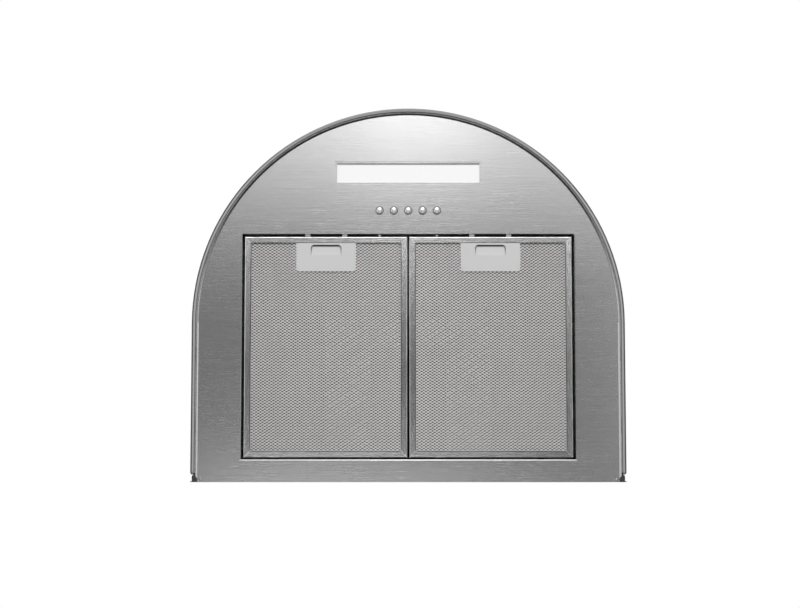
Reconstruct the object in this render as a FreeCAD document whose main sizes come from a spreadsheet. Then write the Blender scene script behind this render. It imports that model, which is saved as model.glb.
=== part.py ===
import FreeCAD, Part
import math
import os
import re
import Sketcher

# A wall-mounted cooker hood: a D-shaped steel canopy inside a wrapped band of bent glass, two hinged
# grease filters, a lamp, five push-buttons, a double-inlet blower and a telescopic chimney.
# +X is the hood's right, -Y its front, +Z up. The origin is on the wall, in the middle of the four
# wall fixings. Heights in this file are measured up from the canopy's underside.

SIZES = {
    # canopy
    "hood_width": 600,
    "hood_depth": 520,
    "canopy_height": 70,
    "fixing_rise": 200,
    "steel_gauge": 1,
    "back_gauge": 1.5,
    "hem_width": 3,
    "hem_height": 3,
    "hem_slope": 1.9,
    "hem_bevel": 0.4,
    "shell_bevel": 6,
    # bent glass band
    "glass_thickness": 6,
    "glass_height": 95,
    "glass_drop": 2,
    "glass_end_setback": 10,
    "glass_corner": 5,
    "glass_edge_bevel": 1.5,
    "hem_gap": 0.6,
    "pad_thickness": 3,
    "pad_play": 0.05,
    "pad_height": 40,
    "pad_rise": 15,
    "pad_sweep": 4,
    "pad_step": 36,
    "pad_rear_line": 77,
    "pad_front_setback": 44,
    "end_cap_width": 4.2,
    "end_cap_corner": 2.5,
    # filter opening in the underside
    "opening_setback": 31,
    "lip_height": 14,
    "notch_width": 14,
    "notch_height": 8,
    # grease filters
    "filter_width": 226,
    "filter_depth": 306,
    "filter_height": 9,
    "filter_gap": 2.6,
    "filter_side_gap": 3.7,
    "filter_rear_gap": 2.5,
    "filter_front_gap": 4,
    "rail_width": 9,
    "rail_gauge": 1,
    "rail_bend": 0.9,
    "mitre_gap": 0.5,
    "mitre_depth": 0.4,
    "mesh_gauge": 1.2,
    "mesh_play": 0.1,
    "hook_spacing": 140,
    "hook_width": 12,
    "hook_reach": 7,
    "hook_gauge": 1.5,
    "seat_play": 0.3,
    "nib_offset": 74.5,
    "nib_width": 3,
    "nib_reach": 3,
    # filter latches
    "latch_width": 83,
    "latch_depth": 39.5,
    "latch_corner": 3,
    "latch_gauge": 1,
    "grip_width": 42.6,
    "grip_depth": 14.8,
    "grip_corner": 5,
    "grip_inset": 2.3,
    "latch_travel": 7,
    "slider_width": 48,
    "slider_depth": 23,
    "slider_height": 1.7,
    "slider_inset": 1.1,
    "latch_bay_width": 62,
    "latch_bay_depth": 32.5,
    "tongue_offset": 25.7,
    "tongue_width": 7,
    "tongue_gauge": 1,
    "tongue_past_lip": 2.5,
    "tongue_slot_play": 1,
    "yoke_width": 60,
    "yoke_depth": 9,
    "spring_width": 26,
    "spring_height": 3,
    "spring_gauge": 0.5,
    # lamp
    "lamp_ahead": 85.5,
    "lens_width": 199,
    "lens_depth": 26.5,
    "lens_recess": 3,
    "lens_gauge": 2,
    "lens_margin": 3,
    "lamp_box_play": 1,
    "lamp_box_height": 36,
    "lamp_axis_height": 20,
    "tube_radius": 6,
    "tube_pitch": 16,
    "tube_end_gap": 12.5,
    "tube_bridge_radius": 4.8,
    "holder_inset": 10.5,
    "holder_length": 26,
    "holder_depth": 32,
    "holder_drop": 12,
    "holder_corner": 3,
    "reflector_top": 30,
    "reflector_gauge": 0.5,
    # push-buttons
    "button_row_ahead": 32.5,
    "button_pitch": 20,
    "button_radius": 4.6,
    "button_dome": 8,
    "button_proud": 2.6,
    "button_body": 6,
    "button_travel": 3,
    "stem_side": 4.4,
    "stem_length": 8,
    "stem_play": 0.3,
    "bezel_radius": 5.6,
    "bezel_gauge": 0.8,
    "bezel_bore": 4.9,
    "bezel_collar_radius": 5.3,
    "bezel_collar": 2,
    "switch_end": 12,
    "switch_depth": 22,
    "switch_height": 20,
    "switch_play": 0.5,
    "bracket_inset": 2,
    "bracket_flange": 10,
    # blower box
    "box_width": 270,
    "box_depth": 250,
    "box_height": 250,
    "box_flange": 12,
    "intake_side_ledge": 17,
    "intake_end_ledge": 20,
    "outlet_inset": 3,
    "fixing_pitch": 200,
    "fixing_height": 120,
    "fixing_hole_radius": 4,
    # blower
    "fan_back_gap": 5.5,
    "fan_height": 178,
    "fan_side_gap": 5,
    "scroll_wall": 2,
    "scroll_gap": 8.5,
    "scroll_step": 10,
    "inlet_overlap": 2,
    "inlet_lip": 4,
    "impeller_half": 48,
    "blade_count": 32,
    "blade_inner": 54,
    "blade_outer": 66,
    "blade_sweep": 7,
    "blade_bow": 15,
    "blade_gauge": 1.1,
    "ring_lip": 1.5,
    "ring_width": 7.5,
    "ring_gauge": 3,
    "disc_bite": 2,
    "disc_gauge": 2,
    "hub_radius": 11,
    "hub_length": 24,
    "shaft_radius": 4,
    "shaft_play": 0.05,
    "shaft_tail": 4,
    "motor_radius": 40,
    "motor_length": 50,
    "motor_bevel": 4,
    "motor_nose": 8,
    "motor_nose_radius": 14,
    "motor_disc_gap": 3,
    "spider_gauge": 2,
    "spider_rim": 8,
    "spider_arm": 14,
    "spider_grip": 12,
    # outlet collar and back-draught flaps
    "collar_radius": 74.5,
    "collar_wall": 2,
    "collar_height": 55,
    "collar_flange": 8,
    "collar_base": 3,
    "ledge_width": 3,
    "ledge_gauge": 1.5,
    "flap_rise": 18,
    "flap_gauge": 1.2,
    "flap_play": 1,
    "pin_radius": 1.5,
    "knuckle_radius": 3,
    "knuckle_play": 0.08,
    "knuckle_gap": 0.8,
    "knuckle_end": 4,
    "knuckle_bite": 0.5,
    # electrics on the blower box
    "terminal_width": 70,
    "terminal_depth": 42,
    "terminal_height": 28,
    "terminal_corner": 3,
    "terminal_inset": 8,
    "terminal_setback": 6,
    "cable_inlet_radius": 4,
    "cable_inlet_depth": 12,
    "cable_inlet_offset": 20,
    "capacitor_radius": 15,
    "capacitor_height": 58,
    "capacitor_bevel": 1.5,
    "capacitor_inset": 22,
    "capacitor_setback": 30,
    "tab_pitch": 10,
    "tab_width": 6,
    "tab_gauge": 1,
    "tab_height": 8,
    # chimney
    "chimney_side_gap": 2,
    "chimney_front_gap": 7.5,
    "chimney_height": 540,
    "chimney_return": 12,
    "chimney_play": 0.7,
    "chimney_upper_height": 575,
    "chimney_lift": 360,
    "vent_count": 6,
    "vent_width": 80,
    "vent_height": 4,
    "vent_pitch": 10,
    "vent_drop": 55,
    "wall_bracket_height": 25,
    "wall_bracket_ear": 30,
    "wall_bracket_drop": 8,
    "wall_bracket_pitch": 120,
    "wall_bracket_boss": 7,
    "wall_bracket_hole": 2.5,
}

doc = FreeCAD.newDocument("curved_glass_hood")
dims = doc.addObject("Spreadsheet::Sheet", "dims")
for row, (name, size) in enumerate(SIZES.items(), start=1):
    dims.set(f"A{row}", name)
    dims.set(f"B{row}", str(size))
    dims.setAlias(f"B{row}", name)
doc.recompute()

# Places that several pieces share, as formulas of the sizes.
STRAIGHT = "(hood_depth - hood_width / 2)"
GLASS_INSIDE = "(hood_width / 2 - glass_thickness)"
SKIRT_RADIUS = f"({GLASS_INSIDE} - pad_thickness)"
HEM_RADIUS = f"({GLASS_INSIDE} - hem_gap)"
OPENING_WIDTH = "(2 * filter_width + filter_gap + 2 * filter_side_gap)"
OPENING_DEPTH = "(filter_rear_gap + filter_depth + filter_front_gap)"
OPENING_FRONT = f"(opening_setback + {OPENING_DEPTH})"
FILTER_MIDDLE = "(opening_setback + filter_rear_gap + filter_depth / 2)"
FILTER_OFFSET = "((filter_width + filter_gap) / 2)"
HOOK_BOTTOM = "(steel_gauge + seat_play)"
TONGUE_BOTTOM = "(latch_gauge + seat_play + slider_height)"
BUTTON_ROW = f"({OPENING_FRONT} + button_row_ahead)"
SWITCH_WIDTH = "(4 * button_pitch + 2 * switch_end)"
LAMP_LINE = f"({OPENING_FRONT} + lamp_ahead)"
TUBE_START = "(holder_inset + holder_length - lens_width / 2)"
TUBE_LENGTH = f"(lens_width / 2 - tube_end_gap - {TUBE_START})"
SWITCH_BOTTOM = "(button_body + button_travel + switch_play)"
BOX_TOP = "(canopy_height + box_height)"
RING_OUTER = "(blade_outer + ring_lip)"
INLET_RADIUS = "(blade_inner + inlet_overlap)"
SCROLL_START = f"({RING_OUTER} + scroll_gap)"
SCROLL_HALF = "(impeller_half + fan_side_gap + scroll_wall)"
FAN_SETBACK = f"(back_gauge + fan_back_gap + scroll_wall + {SCROLL_START} + scroll_step / 2)"
THROAT_FRONT = f"({SCROLL_START} + 2.5 * scroll_step)"
COLLAR_SETBACK = f"({FAN_SETBACK} + ({THROAT_FRONT} - scroll_step / 2) / 2)"
FLAP_LEVEL = f"({BOX_TOP} + flap_rise)"
FLAP_RADIUS = "(collar_radius - collar_wall - flap_play)"
CHIMNEY_HALF = "(box_width / 2 + box_flange + chimney_side_gap + steel_gauge)"
CHIMNEY_DEPTH = "(back_gauge + box_depth + box_flange + chimney_front_gap + steel_gauge)"
SIDES = {"left": "-1", "right": "1"}
nodes = []


def linked(formula):
    """Turns a formula of bare size names into an expression that reads the sheet."""
    return re.sub(r"[a-z]\w*", lambda word: f"dims.{word[0]}" if word[0] in SIZES else word[0], formula)


def value(formula):
    return float(dims.evalExpression(linked(formula)))


class Piece:
    """One separate piece of the hood: a body whose sketches and features read their sizes in the sheet."""

    ROLES = {"XY": "XY_Plane", "XZ": "XZ_Plane", "YZ": "YZ_Plane"}

    def __init__(self, label, x="0", y="0", z="0"):
        self.body = doc.addObject("PartDesign::Body", label)
        self.body.Label = label
        settle(self.body, x, y, z)
        nodes.append(self.body)

    def origin(self, role):
        return next(part for part in self.body.Origin.OriginFeatures if part.Role == role)

    def sketch(self, plane="XY", level="0"):
        """A sketch across the X, Y or Z axis at that level. XZ faces the front, YZ the right, XY up."""
        sketch = self.body.newObject("Sketcher::SketchObject", "sketch")
        sketch.AttachmentSupport = [(self.origin(self.ROLES[plane]), "")]
        sketch.MapMode = "FlatFace"
        along = f"-({level})" if plane == "XZ" else level
        sketch.setExpression("AttachmentOffset.Base.z", linked(along))
        return sketch

    def pad(self, sketch, length):
        return self.feature("Pad", sketch, length)

    def cut(self, sketch, depth):
        """Cuts the way the sketch faces, as pad adds."""
        feature = self.feature("Pocket", sketch, depth)
        feature.Reversed = True
        return feature

    def feature(self, kind, sketch, length):
        feature = self.body.newObject(f"PartDesign::{kind}", kind.lower())
        feature.Profile = sketch
        feature.setExpression("Length", linked(length))
        sketch.Visibility = False
        return feature

    def revolve(self, sketch):
        """Turns an outline drawn on the XZ plane about the upright axis."""
        turned = self.body.newObject("PartDesign::Revolution", "revolution")
        turned.Profile = sketch
        turned.ReferenceAxis = (self.origin("Z_Axis"), [""])
        turned.Angle = 360
        return turned

    def pattern(self, feature, count, role="X_Axis"):
        ring = self.body.newObject("PartDesign::PolarPattern", "pattern")
        ring.Originals = [feature]
        ring.Axis = (self.origin(role), [""])
        ring.Angle = 360
        ring.setExpression("Occurrences", linked(count))
        self.body.Tip = ring
        return ring

    def dress(self, kind, size, chosen):
        """Rounds or bevels the edges of the newest feature for which chosen(edge) holds."""
        doc.recompute()
        base = self.body.Tip
        names = [f"Edge{n}" for n, edge in enumerate(base.Shape.Edges, start=1) if chosen(edge)]
        dressed = self.body.newObject(f"PartDesign::{kind}", kind.lower())
        dressed.Base = (base, names)
        dressed.setExpression("Radius" if kind == "Fillet" else "Size", linked(size))
        return dressed

    def hollow(self, wall, opened):
        """Turns the solid into a shell with that wall, open at the faces for which opened(face) holds."""
        doc.recompute()
        base = self.body.Tip
        names = [f"Face{n}" for n, face in enumerate(base.Shape.Faces, start=1) if opened(face)]
        shelled = self.body.newObject("PartDesign::Thickness", "thickness")
        shelled.Base = (base, names)
        shelled.setExpression("Value", linked(wall))
        shelled.Reversed = True
        return shelled


def settle(thing, x, y, z):
    """Puts a piece at a place measured from the wall line at the height of the canopy's underside."""
    thing.setExpression("Placement.Base.x", linked(x))
    thing.setExpression("Placement.Base.y", linked(y))
    thing.setExpression("Placement.Base.z", linked(f"{z} - fixing_rise"))


def tie(sketch, kind, *rest):
    """Adds a measured constraint whose last entry is a formula of the sheet's sizes."""
    *where, formula = rest
    number = sketch.addConstraint(Sketcher.Constraint(kind, *where, value(formula)))
    sketch.setExpression(f"Constraints[{number}]", linked(formula))


def bowed(start, end, radius):
    """An arc from start to end that bows out on the right of the way it runs, or left if negative."""
    along = end - start
    sagitta = abs(radius) - math.sqrt(radius * radius - along.Length**2 / 4)
    side = FreeCAD.Vector(along.y, -along.x, 0).normalize() * math.copysign(sagitta, radius)
    return Part.Arc(start, (start + end) / 2 + side, end)


def outline(sketch, corners):
    """Draws a closed outline, counterclockwise. A corner's third entry is the radius that bows the edge
    leaving it: outwards if positive, inwards if negative."""
    spots = [FreeCAD.Vector(value(corner[0]), value(corner[1]), 0) for corner in corners]
    ends = []
    for corner, start, end in zip(corners, spots, spots[1:] + spots[:1]):
        arc = len(corner) > 2
        shape = bowed(start, end, value(corner[2])) if arc else Part.LineSegment(start, end)
        edge = sketch.addGeometry(shape)
        if arc:
            inward = value(corner[2]) < 0
            tie(sketch, "Radius", edge, f"-({corner[2]})" if inward else corner[2])
        first, last = sorted((1, 2), key=lambda end: sketch.getPoint(edge, end).distanceToPoint(start))
        ends.append((edge, first, last))
    for step, (corner, (edge, first, _)) in enumerate(zip(corners, ends)):
        before, _, last = ends[step - 1]
        sketch.addConstraint(Sketcher.Constraint("Coincident", before, last, edge, first))
        tie(sketch, "DistanceX", -1, 1, edge, first, corner[0])
        tie(sketch, "DistanceY", -1, 1, edge, first, corner[1])
    return sketch


def rectangle(sketch, width, depth, x="0", y="0"):
    left, right = f"{x} - ({width}) / 2", f"{x} + ({width}) / 2"
    low, high = f"{y} - ({depth}) / 2", f"{y} + ({depth}) / 2"
    return outline(sketch, [(left, low), (right, low), (right, high), (left, high)])


def circle(sketch, radius, x="0", y="0"):
    centre = FreeCAD.Vector(value(x), value(y), 0)
    edge = sketch.addGeometry(Part.Circle(centre, FreeCAD.Vector(0, 0, 1), value(radius)))
    tie(sketch, "Radius", edge, radius)
    tie(sketch, "DistanceX", -1, 1, edge, 3, x)
    tie(sketch, "DistanceY", -1, 1, edge, 3, y)
    return sketch


def dee(sketch, radius, rear):
    """The hood's plan: a half circle about the sketch's origin, with straight sides back to rear."""
    size, back = value(radius), value(rear)
    whole = Part.Circle(FreeCAD.Vector(), FreeCAD.Vector(0, 0, 1), size)
    front = sketch.addGeometry(Part.ArcOfCircle(whole, math.pi, 2 * math.pi))
    corners = [(size, 0), (size, back), (-size, back), (-size, 0)]
    spots = [FreeCAD.Vector(x, y, 0) for x, y in corners]
    right = sketch.addGeometry(Part.LineSegment(spots[0], spots[1]))
    left = sketch.addGeometry(Part.LineSegment(spots[3], spots[2]))
    sketch.addConstraint(Sketcher.Constraint("Coincident", front, 3, -1, 1))
    sketch.addConstraint(Sketcher.Constraint("PointOnObject", front, 1, -1))
    sketch.addConstraint(Sketcher.Constraint("PointOnObject", front, 2, -1))
    tie(sketch, "Radius", front, radius)
    for side, end in ((right, 2), (left, 1)):
        sketch.addConstraint(Sketcher.Constraint("Coincident", side, 1, front, end))
        sketch.addConstraint(Sketcher.Constraint("Vertical", side))
        tie(sketch, "DistanceY", -1, 1, side, 2, rear)
    wall = sketch.addGeometry(Part.LineSegment(spots[1], spots[2]))
    sketch.addConstraint(Sketcher.Constraint("Coincident", wall, 1, right, 2))
    sketch.addConstraint(Sketcher.Constraint("Coincident", wall, 2, left, 2))
    return sketch


def upright(edge):
    """Whether an edge is a straight one along Z."""
    if edge.Curve.TypeId != "Part::GeomLine":
        return False
    return abs(edge.tangentAt(edge.FirstParameter).z) > 0.999


def farthest(edge):
    """How far an edge reaches to either side of the middle."""
    return max(abs(edge.BoundBox.XMin), abs(edge.BoundBox.XMax))


def group(label, shapes):
    """Several like pieces that share one node, at places measured as settle measures them."""
    feature = doc.addObject("Part::Feature", label)
    feature.Label = label
    feature.Shape = Part.makeCompound(shapes)
    settle(feature, "0", "0", "0")
    nodes.append(feature)
    return feature


# ---- canopy ----


def underside_pan():
    """The flat steel underside: a D plate with a folded hem, turned-up lips and pierced holes."""
    pan = Piece("underside_pan", y=f"-{STRAIGHT}")
    rear = f"{STRAIGHT} - back_gauge"
    hem_bottom = "steel_gauge - hem_height"
    pan.pad(dee(pan.sketch(level=hem_bottom), HEM_RADIUS, rear), "hem_height")
    hollow = dee(pan.sketch(level=hem_bottom), f"({HEM_RADIUS} - hem_width)", f"{rear} + steel_gauge")
    pan.cut(hollow, "hem_height - steel_gauge")
    low, short = value(hem_bottom) / 2, 2 * value("hem_width")
    middle = value(f"{HEM_RADIUS} - hem_width / 2")
    for size, inside in (("hem_slope", True), ("hem_bevel", False)):
        pan.dress("Chamfer", size, lambda edge: (
            edge.BoundBox.ZMax < low and edge.Length > short and (farthest(edge) < middle) == inside
        ))
    middle = f"{STRAIGHT} - opening_setback - {OPENING_DEPTH} / 2"
    lamp = f"{STRAIGHT} - {LAMP_LINE}"
    for width, depth, y, lip in (
        (OPENING_WIDTH, OPENING_DEPTH, middle, "lip_height"),
        ("lens_width", "lens_depth", lamp, "lens_recess"),
    ):
        frame = pan.sketch()
        rectangle(frame, f"{width} + 2 * steel_gauge", f"{depth} + 2 * steel_gauge", y=y)
        pan.pad(frame, lip)
        pan.cut(rectangle(pan.sketch(), width, depth, y=y), lip)
    holes = pan.sketch()
    for place in range(-2, 3):
        x = f"{place} * button_pitch"
        circle(holes, "bezel_collar_radius + pad_play", x=x, y=f"{STRAIGHT} - {BUTTON_ROW}")
    pan.cut(holes, "steel_gauge")
    notches = pan.sketch("XZ", f"{STRAIGHT} - opening_setback + 2 * steel_gauge")
    slots = pan.sketch("XZ", f"{STRAIGHT} - {OPENING_FRONT}")
    width, height = "tongue_width + 2 * tongue_slot_play", "tongue_gauge + 2 * seat_play"
    for side in SIDES.values():
        for end in SIDES.values():
            x = f"{side} * {FILTER_OFFSET} + {end} * hook_spacing / 2"
            rectangle(notches, "notch_width", "notch_height", x, "steel_gauge + notch_height / 2")
            x = f"{side} * {FILTER_OFFSET} + {end} * tongue_offset"
            rectangle(slots, width, height, x, f"{TONGUE_BOTTOM} + tongue_gauge / 2")
    pan.cut(notches, "3 * steel_gauge")
    pan.cut(slots, "2 * steel_gauge")


def canopy_shell():
    """The folded steel cover over the underside: a D skirt, a sloped shoulder and a top plate with the
    blower's intake."""
    shell = Piece("canopy_shell", y=f"-{STRAIGHT}", z="steel_gauge")
    rear = f"{STRAIGHT} - back_gauge"
    shell.pad(dee(shell.sketch(), SKIRT_RADIUS, rear), "canopy_height - steel_gauge")
    high = value("canopy_height - 2 * steel_gauge")
    wall = value(f"{rear} - steel_gauge")
    shell.dress("Chamfer", "shell_bevel", lambda edge: (
        edge.BoundBox.ZMin > high and edge.BoundBox.YMin < wall
    ))
    shell.hollow("steel_gauge", lambda face: face.BoundBox.ZMax < 1 or face.BoundBox.YMin > wall)
    intake = shell.sketch()
    width, depth = "box_width - 2 * intake_side_ledge", "box_depth - 2 * intake_end_ledge"
    rectangle(intake, width, depth, y=f"{rear} - box_depth / 2")
    shell.cut(intake, "canopy_height")


def back_panel():
    """The steel back: a strip behind the canopy and an upstand behind the blower, with the wall fixings."""
    back = Piece("back_panel")
    half, stem, low = "hood_width / 2", "(box_width / 2 - steel_gauge)", "canopy_height"
    outer = outline(back.sketch("XZ"), [
        (f"-{half}", "0"), (half, "0"), (half, low), (stem, low),
        (stem, BOX_TOP), (f"-{stem}", BOX_TOP), (f"-{stem}", low), (f"-{half}", low),
    ])
    back.pad(outer, "back_gauge")
    holes = back.sketch("XZ")
    for across in SIDES.values():
        for up in SIDES.values():
            height = f"fixing_rise + {up} * fixing_height / 2"
            circle(holes, "fixing_hole_radius", f"{across} * fixing_pitch / 2", height)
    back.cut(holes, "back_gauge")


def glass_fascia():
    """The band of tempered glass bent round the front and sides of the canopy. Its rear corners are
    rounded, and a ground bevel runs all round it."""
    glass = Piece("glass_fascia", y=f"-{STRAIGHT}", z="-glass_drop")
    rear = f"{STRAIGHT} - glass_end_setback"
    glass.pad(dee(glass.sketch(), "hood_width / 2", rear), "glass_height")
    glass.cut(dee(glass.sketch(), GLASS_INSIDE, f"{rear} + 1"), "glass_height")
    across = value("2 * glass_thickness")
    glass.dress("Fillet", "glass_corner", lambda edge: not upright(edge) and edge.Length < across)
    glass.dress("Chamfer", "glass_edge_bevel", lambda edge: not upright(edge) and edge.Length > 50)


def glass_pads():
    """Rubber bonding pads between the skirt and the glass, round the front and along both sides."""
    inner = value(f"{SKIRT_RADIUS} + pad_play")
    outer = value(f"{GLASS_INSIDE} - pad_play")
    height, sweep, step = value("pad_height"), value("pad_sweep"), value("pad_step")
    straight, rise = value(STRAIGHT), value("pad_rise")
    pads = []
    for place in range(-2, 3):
        sector = Part.makeCylinder(outer, height, FreeCAD.Vector(), FreeCAD.Vector(0, 0, 1), sweep)
        sector = sector.cut(Part.makeCylinder(inner, height))
        sector.rotate(FreeCAD.Vector(), FreeCAD.Vector(0, 0, 1), -90 + place * step - sweep / 2)
        sector.translate(FreeCAD.Vector(0, -straight, rise))
        pads.append(sector)
    length = math.radians(sweep) * outer
    for left in (-outer, inner):
        for line in ("pad_rear_line", f"{STRAIGHT} - pad_front_setback"):
            corner = FreeCAD.Vector(left, -value(line) - length / 2, rise)
            pads.append(Part.makeBox(outer - inner, length, height, corner))
    group("glass_pads", pads)


def glass_end_cap(side):
    """A dark rubber bulb that fills the corner between the rear end of the glass, the hem and the back."""
    sign = SIDES[side]
    cap = Piece(f"glass_end_cap_{side}", z="-glass_drop")
    middle = f"{sign} * ({HEM_RADIUS} + pad_play + end_cap_width / 2)"
    length = "(glass_end_setback - back_gauge)"
    plan = rectangle(cap.sketch(), "end_cap_width", length, middle, f"-back_gauge - {length} / 2")
    cap.pad(plan, "glass_height")
    centre = value(f"{HEM_RADIUS} + pad_play + end_cap_width / 2")
    cap.dress("Fillet", "end_cap_corner", lambda edge: upright(edge) and farthest(edge) > centre)


# ---- lamp ----


def lamp_lens():
    """The frosted plate that lies on the turned-up edge of the lamp window."""
    lens = Piece("lamp_lens", y=f"-{LAMP_LINE}", z="lens_recess")
    plan = rectangle(lens.sketch(), "lens_width + 2 * lens_margin", "lens_depth + 2 * lens_margin")
    lens.pad(plan, "lens_gauge")


def lamp_housing():
    """The sheet-metal box over the lens that holds the lamp."""
    housing = Piece("lamp_housing", y=f"-{LAMP_LINE}", z="steel_gauge")
    width = "(lens_width + 2 * lens_margin + 2 * lamp_box_play)"
    depth = "(lens_depth + 2 * lens_margin + 2 * lamp_box_play)"
    walls = rectangle(housing.sketch(), f"{width} + 2 * steel_gauge", f"{depth} + 2 * steel_gauge")
    housing.pad(walls, "lamp_box_height")
    housing.cut(rectangle(housing.sketch(), width, depth), "lamp_box_height - steel_gauge")


def lamp_reflector():
    """A folded bright sheet above the tubes, standing on the lens."""
    reflector = Piece("lamp_reflector", x=TUBE_START, y=f"-{LAMP_LINE}", z="lens_recess + lens_gauge")
    foot, head = "(lens_depth / 2 + lens_margin)", "(reflector_top / 2)"
    tall = "(lamp_box_height - lens_recess - lens_gauge)"
    inner = f"({foot} - reflector_gauge)"
    crown = f"({head} - reflector_gauge)"
    profile = outline(reflector.sketch("YZ"), [
        (f"-{foot}", "0"), (f"-{inner}", "0"), (f"-{crown}", f"{tall} - reflector_gauge"),
        (crown, f"{tall} - reflector_gauge"), (inner, "0"), (foot, "0"), (head, tall), (f"-{head}", tall),
    ])
    reflector.pad(profile, TUBE_LENGTH)


def lamp_tube():
    """A compact fluorescent lamp: two parallel glass tubes joined at one end."""
    tube = Piece("lamp_tube", x=TUBE_START, y=f"-{LAMP_LINE}", z="lamp_axis_height")
    legs = tube.sketch("YZ")
    for side in SIDES.values():
        circle(legs, "tube_radius", x=f"{side} * tube_pitch / 2")
    bridge = tube.sketch("XZ", "tube_pitch / 2")
    circle(bridge, "tube_bridge_radius", x=f"{TUBE_LENGTH} - tube_radius")
    tube.pad(bridge, "tube_pitch")
    tube.pad(legs, TUBE_LENGTH)


def lamp_holder():
    """The moulded socket that the lamp plugs into, fixed under the top of the housing."""
    left, bottom = f"{TUBE_START} - holder_length", "lamp_axis_height - holder_drop"
    holder = Piece("lamp_holder", left, f"-{LAMP_LINE}", bottom)
    height = "(lamp_box_height - lamp_axis_height + holder_drop)"
    end = rectangle(holder.sketch("YZ"), "holder_depth", height, y=f"{height} / 2")
    holder.pad(end, "holder_length")
    holder.dress("Fillet", "holder_corner", lambda edge: abs(edge.tangentAt(edge.FirstParameter).x) > 0.999)


# ---- push-buttons ----


def push_button(number):
    """A domed chrome cap on a square stem. It travels up into the switch."""
    button = Piece(f"push_button_{number}", x=f"{number - 3} * button_pitch", y=f"-{BUTTON_ROW}")
    rim = "button_dome - button_proud - sqrt(button_dome ^ 2 - button_radius ^ 2)"
    profile = outline(button.sketch("XZ"), [
        ("0", "-button_proud", "button_dome"), ("button_radius", rim),
        ("button_radius", "button_body"), ("0", "button_body"),
    ])
    button.revolve(profile)
    button.pad(rectangle(button.sketch(level="button_body"), "stem_side", "stem_side"), "stem_length")


def button_bezels():
    """Five pressed rings that line the button holes."""
    rim = value("bezel_gauge")
    bore = value("bezel_bore")
    reach = value("steel_gauge + bezel_collar")
    rings = []
    for place in range(-2, 3):
        centre = FreeCAD.Vector(place * value("button_pitch"), -value(BUTTON_ROW), 0)
        ring = Part.makeCylinder(value("bezel_radius"), rim, centre - FreeCAD.Vector(0, 0, rim))
        ring = ring.fuse(Part.makeCylinder(value("bezel_collar_radius"), reach, centre))
        low = centre - FreeCAD.Vector(0, 0, rim)
        rings.append(ring.cut(Part.makeCylinder(bore, rim + reach, low)).removeSplitter())
    group("button_bezels", rings)


def switch_body():
    """The moulded push-button switch bank, with a square well for each stem."""
    switch = Piece("switch_body", y=f"-{BUTTON_ROW}", z=SWITCH_BOTTOM)
    switch.pad(rectangle(switch.sketch(), SWITCH_WIDTH, "switch_depth"), "switch_height")
    wells = switch.sketch()
    side = "stem_side + 2 * stem_play"
    for place in range(-2, 3):
        rectangle(wells, side, side, x=f"{place} * button_pitch")
    switch.cut(wells, "stem_length")


def switch_bracket():
    """A steel strap over the switch, with feet on the underside pan."""
    length = f"({SWITCH_WIDTH} - 2 * bracket_inset)"
    bracket = Piece("switch_bracket", x=f"-{length} / 2", y=f"-{BUTTON_ROW}", z="steel_gauge")
    leg = "(switch_depth / 2)"
    skin = f"({leg} + steel_gauge)"
    foot = f"({skin} + bracket_flange)"
    tall = f"({SWITCH_BOTTOM} + switch_height)"
    profile = outline(bracket.sketch("YZ"), [
        (f"-{foot}", "0"), (f"-{leg}", "0"), (f"-{leg}", f"{tall} - steel_gauge"),
        (leg, f"{tall} - steel_gauge"), (leg, "0"), (foot, "0"), (foot, "steel_gauge"),
        (skin, "steel_gauge"), (skin, tall), (f"-{skin}", tall), (f"-{skin}", "steel_gauge"),
        (f"-{foot}", "steel_gauge"),
    ])
    bracket.pad(profile, length)


# ---- grease filters, each one hinged on rear hooks and held by a sprung latch ----


def filter_piece(name, side, z="0"):
    return Piece(f"{name}_{side}", f"{SIDES[side]} * {FILTER_OFFSET}", f"-{FILTER_MIDDLE}", z)


def mitre(sketch, across, along):
    """The fine diagonal joint between two rails, at the corner of the frame on those sides."""
    outer, inner = "filter_width / 2", "(filter_width / 2 - rail_width)"
    far, near = f"{along} * filter_depth / 2", f"{along} * (filter_depth / 2 - rail_width)"
    outline(sketch, [
        (f"{across} * ({outer} - mitre_gap)", far), (f"{across} * {outer}", far),
        (f"{across} * {inner}", near), (f"{across} * ({inner} - mitre_gap)", near),
    ])


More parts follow.
